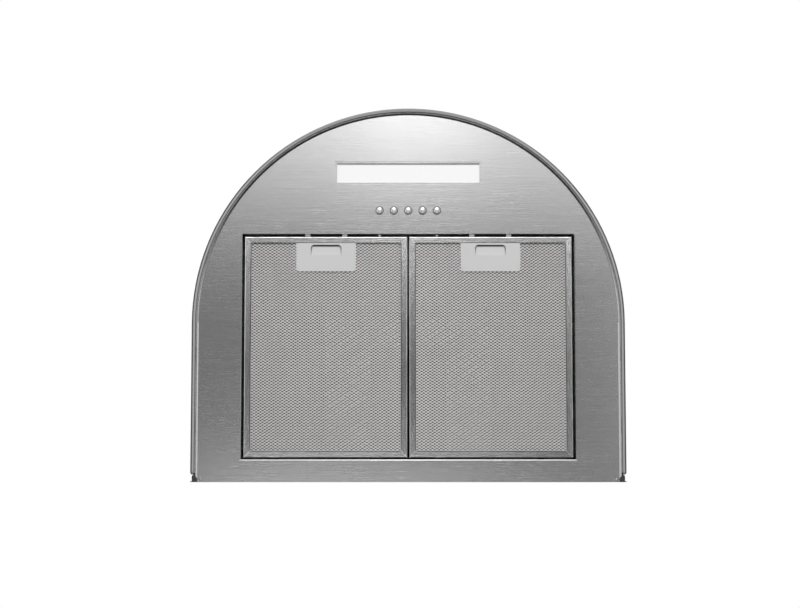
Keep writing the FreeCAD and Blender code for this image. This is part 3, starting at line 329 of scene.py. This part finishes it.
def front_hem_shade(graph):
    """1 on the front stretch of the pan's folded hem, where shade is painted dark beside the glass."""
    x, y, z = position(graph)
    return (from_bend(x, y) > glass_high.x - HEM_INSET) * ramp(graph, y, HEM_DARK_FROM, HEM_DARK_TO)


dress(brushed_steel("brushed_steel_across", ALONG_X, relief=0.14), "canopy_shell", "back_panel")
steel_across = brushed_steel("brushed_steel_pan", ALONG_X, relief=0.35, hem=front_hem_shade)

PLATE_LEVEL = pan_low.z + 2 * MM
LEVEL_PLAY = 0.02 * MM
WELD = 0.002 * MM
FLAT_ANGLE, SHARP_ANGLE = math.radians(0.5), math.radians(60)
WINDOW_FOLD, FOLD_STEPS = 2.8 * MM, 4
SET_IN = 1.4 * MM
SET_SLOPE = math.tan(math.radians(18))
sheet = bmesh.new()
sheet.from_mesh(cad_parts["underside_pan"].data)
bmesh.ops.remove_doubles(sheet, verts=sheet.verts, dist=WELD)
bmesh.ops.dissolve_limit(sheet, angle_limit=FLAT_ANGLE, verts=sheet.verts, edges=sheet.edges)


def middle_of(edge):
    return (edge.verts[0].co + edge.verts[1].co) / 2


def sharp_edges(low, high):
    """The plate's sharp lower edges that lie between two corners."""
    found = []
    for edge in sheet.edges:
        middle = middle_of(edge)
        level = all(abs(corner.co.z - PLATE_LEVEL) < LEVEL_PLAY for corner in edge.verts)
        inside = low.x < middle.x < high.x and low.y < middle.y < high.y
        if level and inside and len(edge.link_faces) == 2 and edge.calc_face_angle() > SHARP_ANGLE:
            found.append(edge)
    return found


def piece_of(shape, name, material):
    """Turns a bmesh into an object in one finish."""
    mesh = bpy.data.meshes.new(name)
    shape.to_mesh(mesh)
    shape.free()
    mesh.materials.append(material)
    return put(name, mesh)


margin = Vector((6 * MM, 6 * MM, 0))
lens_low, lens_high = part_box("lamp_lens")
window_edges = sharp_edges(lens_low - margin, lens_high + margin)
bmesh.ops.bevel(sheet, geom=window_edges, offset=WINDOW_FOLD, segments=FOLD_STEPS, affect="EDGES")
filter_low, filter_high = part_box("filter_frame_left")[0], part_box("filter_frame_right")[1]
opening_edges = sharp_edges(filter_low - margin, filter_high + margin)
set_edges = [edge for edge in opening_edges if middle_of(edge).y > filter_low.y]
pressed = bmesh.ops.bevel(sheet, geom=set_edges, offset=SET_IN, segments=1, affect="EDGES")
for corner in {corner for face in pressed["faces"] for corner in face.verts}:
    corner.co.z = PLATE_LEVEL + (corner.co.z - PLATE_LEVEL) * SET_SLOPE
pan = piece_of(sheet, "pan_plate", steel_across)
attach(pan, "hood")
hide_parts("underside_pan")


def satin_metal(name, tone, roughness=0.38, speck=500):
    """Rolled, cast or coated metal with a faint grain, speck spots of it to a metre."""
    material, graph, surface = finish(name, Metallic=1.0)
    spots = specks(graph, speck)
    coat(graph, surface, Base_Color=varied(graph, spots, tone, 0.1), Roughness=roughness + spots * 0.1,
         Normal=bump(graph, spots, 0.15, GRAIN_DEPTH))
    return material


def geometry_tree(name, **inputs):
    """An empty geometry tree with named inputs, whose kinds are Float, Int, Vector, Geometry or Material."""
    tree = bpy.data.node_groups.new(name, "GeometryNodeTree")
    tree.interface.new_socket("Result", in_out="OUTPUT", socket_type="NodeSocketGeometry")
    for label, kind in inputs.items():
        tree.interface.new_socket(label, in_out="INPUT", socket_type=f"NodeSocket{kind}")
    graph = Graph(tree)
    entry = tree.nodes.new("NodeGroupInput")
    return graph, {label: Signal(graph, entry.outputs[label]) for label in inputs}


def close_tree(graph, shape, material):
    """Ends a geometry tree: real geometry, then its finish."""
    solid = graph.add("GeometryNodeRealizeInstances", {}, {"Geometry": shape})
    done = graph.add("GeometryNodeSetMaterial", {}, {"Geometry": solid, "Material": material})
    graph.add("NodeGroupOutput", {}, {"Result": done})


def grow(name, graph, base, body, slot, **sizes):
    """Runs a geometry tree on a base mesh and keeps the result as a piece with a plain mesh."""
    piece = put(name, base)
    modifier = piece.modifiers.new("growth", "NODES")
    modifier.node_group = graph.tree
    for item in graph.tree.interface.items_tree:
        if item.name in sizes:
            modifier[item.identifier] = sizes[item.name]
    mesh = bpy.data.meshes.new_from_object(piece.evaluated_get(bpy.context.evaluated_depsgraph_get()))
    piece.modifiers.remove(modifier)
    piece.data = mesh
    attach(piece, body)
    return piece


HEAD_SIDES = 12
WELL_SHARE = 0.55
screw_heads, size = geometry_tree(
    "screw_heads", Spots="Geometry", Radius="Float", Height="Float", Recess="Float", Crown="Float",
    Facing="Vector", Finish="Material",
)
head = screw_heads.add("GeometryNodeMeshCone", {"fill_type": "NGON"}, {
    "Vertices": HEAD_SIDES, "Radius Top": size["Radius"] * size["Crown"], "Radius Bottom": size["Radius"],
    "Depth": size["Height"],
})
rim = screw_heads.add("GeometryNodeExtrudeMesh", {"mode": "FACES"}, {
    "Mesh": head, "Selection": head.twin("Top"), "Offset Scale": 0.0,
})
well = screw_heads.add("GeometryNodeScaleElements", {"domain": "FACE"}, {
    "Geometry": rim, "Selection": rim.twin("Top"), "Scale": WELL_SHARE,
})
well = screw_heads.add("GeometryNodeExtrudeMesh", {"mode": "FACES"}, {
    "Mesh": well, "Selection": rim.twin("Top"), "Offset Scale": size["Recess"] * -1,
})
turn = screw_heads.add("FunctionNodeAlignRotationToVector", {"axis": "Z"}, {"Vector": size["Facing"]})
placed = screw_heads.add("GeometryNodeInstanceOnPoints", {}, {
    "Points": size["Spots"], "Instance": well, "Rotation": turn,
})
close_tree(screw_heads, placed, size["Finish"])
zinc_screw = satin_metal("zinc_screw", tone=0.6, roughness=0.3, speck=900)


def screws(name, body, spots, facing, radius, height=1.2 * MM, crown=0.72, recess=0.55):
    """A row of recessed screw or rivet heads on a surface that faces that way."""
    base = bpy.data.meshes.new(name)
    base.from_pydata(spots, [], [])
    grow(name, screw_heads, base, body, "galvanised_steel", Radius=radius, Height=height,
         Recess=height * recess, Crown=crown, Facing=facing, Finish=zinc_screw)


RIVET_INSET = 13.8 * MM
RIVET_SETBACK = 3.6 * MM
spots = [(side * (glass_high.x - RIVET_INSET), -RIVET_SETBACK, PLATE_LEVEL) for side in (-1, 1)]
screws("pan_rivets", "hood", spots, (0, 0, -1), radius=1.7 * MM, height=0.9 * MM, crown=0.45, recess=0.1)

# ---- glass band ----
# Six-millimetre tempered glass, bent round the front and sides, with ground rims. Rubber pads bond it to the
# shell. A rubber bulb fills the corner behind each rear end, and a rounded lip closes the bulb's lower end.

RIM = 1.65 * MM
OUTER_LINE = 2.2 * MM
INNER_LINE, INNER_SHARE = 4.7 * MM, 0.7
FLANK_START, FLANK_END = 120 * MM, 230 * MM
# ground-rim greys: the front is painted darker as shade, the flanks lighter as light, and the lines are
# painted shade; DUST is real dust
FRONT_FROST_SHADED, FLANK_FROST_LIT, PAINTED_LINE_SHADE, DUST = 0.33, 0.46, 0.07, 0.3
glass, graph, surface = finish("clear_glass", IOR=1.5, Transmission_Weight=1.0)
x, y, z = position(graph)
ground = (z < glass_low.z + RIM) + (z > glass_high.z - RIM)
streak = specks(graph, 900)
coat(graph, surface, Base_Color=between(graph, streak, (0.90, 0.95, 0.94, 1), (0.94, 0.97, 0.96, 1)),
     Roughness=0.02 + streak * 0.02)
reach = from_bend(x, y)
# painted shade and light on the ground rims: darker at the front than on the flanks, with dark lines painted
# along the flanks' outer edge and along the inner edge
flank = ramp(graph, abs(x), FLANK_START, FLANK_END)
outer_shade_line = (reach > glass_high.x - OUTER_LINE) * flank
inner_shade_line = reach < glass_high.x - INNER_LINE
rim_tone = between(graph, flank, grey(FRONT_FROST_SHADED), grey(FLANK_FROST_LIT))
rim_tone = between(graph, outer_shade_line.math("MAXIMUM", inner_shade_line * INNER_SHARE), rim_tone, grey(PAINTED_LINE_SHADE))
frosted = graph.add("ShaderNodeBsdfPrincipled", {}, {
    "Specular IOR Level": 0.25,
    "Base Color": between(graph, streak * 0.15, rim_tone, grey(DUST)),
    "Roughness": 0.32 + streak * 0.1,
})
both = graph.add("ShaderNodeMixShader", {}, {0: ground, 1: Signal(graph, surface.outputs[0]), 2: frosted})
graph.feed(graph.tree.nodes["Material Output"].inputs["Surface"], both)
dress(glass, "glass_fascia")

rubber, graph, surface = finish("black_rubber", Roughness=0.62)
bloom = specks(graph, 900)
coat(graph, surface, Base_Color=between(graph, bloom, grey(0.03), grey(0.06)),
     Normal=bump(graph, bloom, 0.2, 0.3 * MM))
dress(rubber, "glass_pads", "glass_end_cap_left", "glass_end_cap_right")


def prism(outline, path):
    """A bmesh solid, made by drawing a flat outline along path. Its far corners are returned too."""
    shape = bmesh.new()
    face = shape.faces.new([shape.verts.new(point) for point in outline])
    grown = bmesh.ops.extrude_face_region(shape, geom=[face])
    moved = [part for part in grown["geom"] if isinstance(part, bmesh.types.BMVert)]
    bmesh.ops.translate(shape, verts=moved, vec=path)
    return shape, moved


LIP_LENGTH = 7.6 * MM
LIP_INNER = 9.7 * MM
LIP_OUTER = 2.6 * MM
LIP_OVERHANG = 0.9 * MM
LIP_EDGE = 0.35 * MM
LIP_STEPS = 12
for name, sign in (("left", -1), ("right", 1)):
    cap_low, cap_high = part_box(f"glass_end_cap_{name}")
    inner, outer = glass_high.x - LIP_INNER, glass_high.x - LIP_OUTER
    radius = (outer - inner) / 2
    rear = cap_high.y + LIP_OVERHANG
    front = rear - LIP_LENGTH + radius
    outline = [(sign * outer, rear, pan_low.z), (sign * inner, rear, pan_low.z)]
    for step in range(LIP_STEPS + 1):
        turn = math.pi * (1 - step / LIP_STEPS)
        across = inner + radius + radius * math.cos(turn)
        outline.append((sign * across, front - radius * math.sin(turn), pan_low.z))
    shape, moved = prism(outline, (0, 0, cad_box[0].z - pan_low.z))
    bottom = [edge for edge in shape.edges if all(corner in moved for corner in edge.verts)]
    bmesh.ops.bevel(shape, geom=bottom, offset=LIP_EDGE, segments=2, affect="EDGES")
    bmesh.ops.recalc_face_normals(shape, faces=shape.faces)
    lip = piece_of(shape, f"end_lip_{name}", rubber)
    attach(lip, "hood")

# ---- lamp ----
# A frosted acrylic plate lies on the turned-up edge of its window; the plate's front edge is painted dark as
# shade. The zinc-coated box above it holds the folded bright reflector, the tube and its moulded socket.


def moulded(name, tone, roughness=0.5):
    """Moulded or painted surface with a fine leathery grain."""
    material, graph, surface = finish(name)
    spots = specks(graph, 1200)
    coat(graph, surface, Base_Color=varied(graph, spots, tone, 0.08), Roughness=roughness + spots * 0.1,
         Normal=bump(graph, spots, 0.25, GRAIN_DEPTH))
    return material


WINDOW_DEPTH = 26.5 * MM
SHADED_EDGE = 1.1 * MM
PAINTED_SHADE_TONE = 0.16
lens, graph, surface = finish("frosted_lens", Roughness=0.35, Emission_Strength=0.15)
frost = specks(graph, 400)
x, y, z = position(graph)
# painted shade: a dark band along the plate's front edge, with no glow there
shaded_front_edge = y < (lens_low.y + lens_high.y) / 2 - WINDOW_DEPTH / 2 + SHADED_EDGE
acrylic = between(graph, frost, grey(0.88), grey(0.93))
shine = between(graph, frost, grey(0.95), grey(1.0))
coat(graph, surface, Base_Color=between(graph, shaded_front_edge, acrylic, grey(PAINTED_SHADE_TONE)),
     Emission_Color=between(graph, shaded_front_edge, shine, grey(0.0)))
dress(lens, "lamp_lens")
zinc = satin_metal("galvanised_steel", tone=0.55, roughness=0.35, speck=60)
white_plastic = moulded("white_plastic", tone=0.8)
dress(zinc, "lamp_housing")
dress(satin_metal("polished_aluminium", tone=0.85, roughness=0.08), "lamp_reflector")
dress(moulded("lamp_tube_glass", tone=0.9, roughness=0.15), "lamp_tube")
dress(white_plastic, "lamp_holder")

# ---- push-buttons ----
# Domed caps, chrome-plated, in dark pressed rings. The moulded switch bank hangs in a steel strap above them.

chrome, graph, surface = finish("polished_chrome", Metallic=1.0)
haze = specks(graph, 300)
coat(graph, surface, Base_Color=between(graph, haze, grey(0.78), grey(0.84)), Roughness=0.27 + haze * 0.06)
dress(chrome, *(f"push_button_{number}" for number in range(1, 6)))
dress(satin_metal("dark_chrome", tone=0.07, roughness=0.3), "button_bezels")
dress(white_plastic, "switch_body")
dress(zinc, "switch_bracket")

# ---- grease filters: frames ----
# Rolled channel of anodised aluminium, mitred at the corners, so that the drawn grain runs along each rail.
# The uprights carry a painted highlight toward the front, and the steel hooks at the rear are painted dark as
# shade.

RAIL = 9 * MM
CORE_INSET = 1.1 * MM
EASED = 1.6 * MM
EASED_DEPTH = 0.45 * MM
# width of the painted shade along the rails' inner seam
SEAM_SHADE = 0.9 * MM
# half width of the painted highlight along each mitre
MITRE_HIGHLIGHT = 0.35 * MM
# how far past the frame's rear edge the painted shade on the hooks starts
HOOK_SHADE_FROM = 0.2 * MM
DRAWN_ALONG, DRAWN_ACROSS = 40, 2200
# where the painted highlight on the uprights starts and where it is full, as shares of the half depth
HIGHLIGHT_FROM, HIGHLIGHT_TO = 0.2, -0.5


def rail_finish(side):
    """Drawn aluminium with eased outer edges, painted highlights on the mitres and toward the front of the
    uprights, and painted shade along the inner seams and on the hooks.
    """
    low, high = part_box(f"filter_frame_{side}")
    middle_x, half_width = (low.x + high.x) / 2, (high.x - low.x) / 2
    core_low, core_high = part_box(f"filter_core_{side}")
    middle_y = (core_low.y + core_high.y) / 2
    half_depth = (core_high.y - core_low.y) / 2 + CORE_INSET
    material, graph, surface = finish(f"rail_aluminium_{side}", Metallic=1.0)
    x, y, z = position(graph)
    from_side = half_width - abs(x - middle_x)
    from_end = half_depth - abs(y - middle_y)
    nearest = from_side.math("MINIMUM", from_end)
    upright = from_side < from_end
    along_x = cloud(graph, place_on_piece(graph, DRAWN_ALONG, DRAWN_ACROSS, DRAWN_ACROSS))
    along_y = cloud(graph, place_on_piece(graph, DRAWN_ACROSS, DRAWN_ALONG, DRAWN_ACROSS))
    streaks = along_x * (1 - upright) + along_y * upright
    # painted highlight: the uprights are painted brighter toward the front
    highlight_end = middle_y + half_depth * HIGHLIGHT_TO
    toward_front = ramp(graph, y, middle_y + half_depth * HIGHLIGHT_FROM, highlight_end)
    unlit_rail = between(graph, streaks, grey(0.5), grey(0.66))
    lit_rail = between(graph, streaks, grey(0.76), grey(0.94))
    shade = between(graph, toward_front * upright, unlit_rail, lit_rail)
    # painted shade: a dark strip along the inner seam
    shade = between(graph, nearest > RAIL - SEAM_SHADE, shade, grey(0.2))
    # painted highlight: a bright line along each mitre
    shade = between(graph, abs(from_side - from_end) < MITRE_HIGHLIGHT, shade, grey(0.95))
    # painted shade: the hooks behind the frame are painted nearly black
    shade = between(graph, y > middle_y + half_depth + HOOK_SHADE_FROM, shade, grey(0.03))
    eased = ramp(graph, nearest, 0.0, EASED, 0.0, EASED_DEPTH, smooth=True)
    coat(graph, surface, Base_Color=shade, Roughness=0.15 + streaks * 0.1,
         Normal=bump(graph, eased + streaks * 0.1 * MM, 1.0, 1.0))
    return material


for side in ("left", "right"):
    dress(rail_finish(side), f"filter_frame_{side}")

# ---- grease filters: expanded mesh ----
# Aluminium sheet, slit and stretched into zigzag strands that stay joined at their corners. A fine layer
# closes the front and a coarser one the rear, with three open layers between them. All but the rear one leave
# a bay for the latch.

strands, size = geometry_tree(
    "expanded_mesh", Left="Float", Front="Float", Level="Float", Step="Float", Pitch="Float", Swing="Float",
    Width="Float", Gauge="Float", Tilt="Float", Corners="Int", Rows="Int", Bay_Rows="Int", Bay_Start="Int",
    Bay_End="Int", Layers="Int", Rise="Float", Finish="Material",
)


def vector(graph, x=0.0, y=0.0, z=0.0):
    return graph.add("ShaderNodeCombineXYZ", {}, {"X": x, "Y": y, "Z": z})


def line_of_points(graph, count, start, step):
    return graph.add("GeometryNodeMeshLine", {}, {"Count": count, "Start Location": start, "Offset": step})


index = strands.add("GeometryNodeInputIndex")
section = strands.add("GeometryNodeCurvePrimitiveQuadrilateral", {}, {
    "Width": size["Width"], "Height": size["Gauge"],
})
section = strands.add("GeometryNodeTransform", {}, {
    "Geometry": section, "Rotation": vector(strands, z=size["Tilt"]),
})


def strand(first, count):
    """One zigzag strand from its corner number first, in the frame of its row."""
    start = vector(strands, x=size["Step"] * first)
    corners = line_of_points(strands, count, start, vector(strands, x=size["Step"]))
    swing = (1 - ((index + first) % 2) * 2) * size["Swing"]
    zigzag = strands.add("GeometryNodeSetPosition", {}, {
        "Geometry": corners, "Offset": vector(strands, y=swing),
    })
    path = strands.add("GeometryNodeMeshToCurve", {}, {"Mesh": zigzag})
    path = strands.add("GeometryNodeSetCurveNormal", {"mode": "Z_UP"}, {"Curve": path})
    return strands.add("GeometryNodeCurveToMesh", {}, {
        "Curve": path, "Profile Curve": section, "Fill Caps": True,
    })


def joined(graph, *shapes):
    joint = graph.add("GeometryNodeJoinGeometry")
    for shape in shapes:
        graph.tree.links.new(shape.socket, joint.socket.node.inputs["Geometry"])
    return joint


rows = line_of_points(strands, size["Rows"], vector(strands, size["Left"], size["Front"], size["Level"]),
                      vector(strands, y=size["Pitch"]))
rows = strands.add("GeometryNodeSetPosition", {}, {
    "Geometry": rows, "Offset": vector(strands, x=(index % 2) * size["Step"]),
})
beside_bay = index < size["Bay_Rows"]
whole = strands.add("GeometryNodeInstanceOnPoints", {}, {
    "Points": rows, "Selection": 1 - beside_bay, "Instance": strand(0, size["Corners"]),
})
split = strands.add("GeometryNodeInstanceOnPoints", {}, {
    "Points": rows, "Selection": beside_bay, "Instance": joined(
        strands, strand(0, size["Bay_Start"]), strand(size["Bay_End"], size["Corners"] - size["Bay_End"]),
    ),
})
LAYER_SHIFT = 0.8 * MM
layer_step = vector(strands, LAYER_SHIFT, LAYER_SHIFT, size["Rise"])
levels = line_of_points(strands, size["Layers"], vector(strands), layer_step)
close_tree(strands, strands.add("GeometryNodeInstanceOnPoints", {}, {
    "Points": levels, "Instance": joined(strands, whole, split),
}), size["Finish"])

mesh_metal = satin_metal("mesh_aluminium", tone=0.95, roughness=0.42)
# painted shade: the core and rear layers are aluminium painted nearly black, as the shade inside the filter
shaded_core_metal = satin_metal("core_aluminium_painted_shade", tone=0.1, roughness=0.5)
STRAND_TILT = math.radians(-35)
SHEET_PLAY = 1 * MM
BAY_DEPTH = 34 * MM
BAY_PLAY = 1.2 * MM


def expanded(name, side, metal, step, pitch, swing, width, gauge, bay=True, layers=1):
    """An expanded sheet that fills the space of one flat layer of the frame."""
    node = f"{name}_{side}"
    low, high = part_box(node)
    latch_low, latch_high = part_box(f"latch_tongues_{side}")
    margin = swing + width / 2
    shift = LAYER_SHIFT * (layers - 1)
    corners = int((high.x - low.x - 2 * SHEET_PLAY - shift) / step)
    rows = int((high.y - low.y - 2 * margin - shift) / pitch) + 1
    bay_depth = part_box(f"latch_plate_{side}")[0].y + BAY_DEPTH - low.y
    middle = (low.x + high.x) / 2
    half_bay = (latch_high.x - latch_low.x) / 2 + BAY_PLAY
    left = low.x + SHEET_PLAY
    rise = (high.z - low.z) / layers
    piece = grow(
        f"mesh_{node}", strands, bpy.data.meshes.new(node), f"filter_{side}", "aluminium_mesh",
        Left=left, Front=low.y + margin, Level=low.z + rise / 2, Step=step, Pitch=pitch, Swing=swing,
        Width=width, Gauge=gauge, Tilt=STRAND_TILT, Corners=corners, Rows=rows,
        Bay_Rows=math.ceil(bay_depth / pitch) if bay else 0,
        Bay_Start=int((middle - half_bay - left - step) / step) + 1,
        Bay_End=math.ceil((middle + half_bay - left) / step),
        Layers=layers, Rise=rise, Finish=metal,
    )
    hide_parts(node)


for side in ("left", "right"):
    expanded("filter_front_mesh", side, mesh_metal,
             step=3 * MM, pitch=2 * MM, swing=0.7 * MM, width=1.05 * MM, gauge=0.45 * MM)
    expanded("filter_core", side, shaded_core_metal,
             step=5 * MM, pitch=3.2 * MM, swing=1.1 * MM, width=1.2 * MM, gauge=0.5 * MM, layers=3)
    expanded("filter_rear_mesh", side, shaded_core_metal,
             step=4.5 * MM, pitch=3 * MM, swing=1.0 * MM, width=0.9 * MM, gauge=0.5 * MM, bay=False)

# ---- grease filters: latches ----
# A pressed cover with a finger hole, painted light grey. The finger plate behind the hole slopes, so that a
# fingertip can draw it back. It carries the spring-steel tongues, and a bowed leaf spring pushes it home.

latch_paint = moulded("latch_enamel", tone=0.7, roughness=0.4)
spring_metal = satin_metal("spring_steel", tone=0.6, roughness=0.25)
HOLE_REAR = 17.1 * MM
HOLE_FRONT = 2.3 * MM
HOLE_HALF = 21.3 * MM
# where the painted shade in the finger hole starts and where it is full, at the front and at the sides
FRONT_UNSHADED, FRONT_SHADED = 3.4 * MM, 1.4 * MM
SIDE_UNSHADED, SIDE_SHADED = 3.2 * MM, 1.2 * MM
SIDE_SHADE_SHARE, SIDE_TAPER = 0.9, 0.15


def finger_paint(side):
    """The latch's paint, with painted shade in the front corner of its finger hole."""
    low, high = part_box(f"latch_plate_{side}")
    material, graph, surface = finish(f"finger_enamel_{side}", Roughness=0.45)
    x, y, z = position(graph)
    from_front = y - (low.y + HOLE_FRONT)
    from_side = HOLE_HALF - abs(x - (low.x + high.x) / 2) + from_front * SIDE_TAPER
    front_shade = ramp(graph, from_front, FRONT_UNSHADED, FRONT_SHADED, smooth=True)
    side_shade = ramp(graph, from_side, SIDE_UNSHADED, SIDE_SHADED, 0.0, SIDE_SHADE_SHARE, smooth=True)
    # painted shade in the front corner of the finger hole
    recess_shade = front_shade.math("MAXIMUM", side_shade)
    spots = specks(graph, 1200)
    plain_paint = between(graph, spots, grey(0.66), grey(0.75))
    coat(graph, surface, Base_Color=between(graph, recess_shade, plain_paint, grey(0.06)),
         Normal=bump(graph, spots, 0.25, GRAIN_DEPTH))
    return material


THIN_EDGE = 0.5 * MM
FINGER_EDGE = 0.25 * MM
for side in ("left", "right"):
    dress(latch_paint, f"latch_plate_{side}")
    dress(spring_metal, f"latch_tongues_{side}")
    low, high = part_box(f"latch_slider_{side}")
    ramp_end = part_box(f"latch_plate_{side}")[0].y + HOLE_REAR
    front_edge = [(low.y, high.z), (low.y, high.z - THIN_EDGE)]
    profile = [*front_edge, (ramp_end, low.z), (high.y, low.z), (high.y, high.z)]
    shape, moved = prism([(low.x, y, z) for y, z in profile], (high.x - low.x, 0, 0))
    bmesh.ops.bevel(shape, geom=list(shape.edges), offset=FINGER_EDGE, segments=2, affect="EDGES")
    bmesh.ops.recalc_face_normals(shape, faces=shape.faces)
    finger_plate = piece_of(shape, f"finger_plate_{side}", finger_paint(side))
    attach(finger_plate, f"latch_{side}")
    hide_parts(f"latch_slider_{side}")

    shape = bmesh.new()
    shape.from_mesh(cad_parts[f"latch_spring_{side}"].data)
    bmesh.ops.remove_doubles(shape, verts=shape.verts, dist=WELD)
    leaf_spring = piece_of(shape, f"leaf_spring_{side}", spring_metal)
    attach(leaf_spring, f"filter_{side}")
    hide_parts(f"latch_spring_{side}")
    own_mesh(leaf_spring)

# ---- blower ----
# A zinc-coated box hangs the moulded black scroll, the grey wheel and the motor. The moulded spigot on top
# has two flaps on a wire pin.

dress(zinc, "blower_box", "motor_bracket")
dress(moulded("black_plastic", tone=0.04), "scroll_left", "scroll_right")
dress(moulded("wheel_plastic", tone=0.25), "impeller")
dress(moulded("motor_paint", tone=0.05, roughness=0.4), "motor")
dress(spring_metal, "motor_shaft", "damper_pin")
dress(moulded("spigot_plastic", tone=0.12), "outlet_collar", "damper_flap_front", "damper_flap_rear")
collar_low, collar_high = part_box("outlet_collar")
middle = (collar_low + collar_high) / 2
SCREW_RING = 78.6 * MM
FLANGE = 3 * MM
turns = [math.radians(angle) for angle in (45, 135, 225, 315)]
spots = [
    (middle.x + SCREW_RING * math.cos(turn), middle.y + SCREW_RING * math.sin(turn), collar_low.z + FLANGE)
    for turn in turns
]
screws("collar_screws", "hood", spots, (0, 0, 1), radius=3 * MM)

# ---- electrics ----
# The connection box and the run capacitor stand on top of the blower box, behind the spigot.

dress(white_plastic, "terminal_box")
dress(satin_metal("capacitor_can", tone=0.7, roughness=0.25), "capacitor")
box_low, box_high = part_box("terminal_box")
LID_SCREW_INSET = 7 * MM
lid_screws = (box_low.x + LID_SCREW_INSET, box_high.x - LID_SCREW_INSET)
spots = [(x, (box_low.y + box_high.y) / 2, box_high.z) for x in lid_screws]
screws("terminal_screws", "hood", spots, (0, 0, 1), radius=2.6 * MM)

# ---- chimney ----
# Two three-sided covers of stainless sheet, brushed upwards. The upper one slides inside the lower one and is
# screwed to a zinc-coated wall bracket.

dress(brushed_steel("brushed_steel_upright", ALONG_Z, relief=0.12), "chimney_lower", "chimney_upper")
dress(zinc, "chimney_bracket")
upper_low, upper_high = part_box("chimney_upper")
bracket_low, bracket_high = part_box("chimney_bracket")
WALL_GAP = 18 * MM
for name, facing, x in (("left", -1, upper_low.x), ("right", 1, upper_high.x)):
    spots = [(x, bracket_high.y - WALL_GAP, (bracket_low.z + bracket_high.z) / 2)]
    screws(f"chimney_screw_{name}", "chimney_upper", spots, (facing, 0, 0), radius=2.8 * MM, height=1.0 * MM)
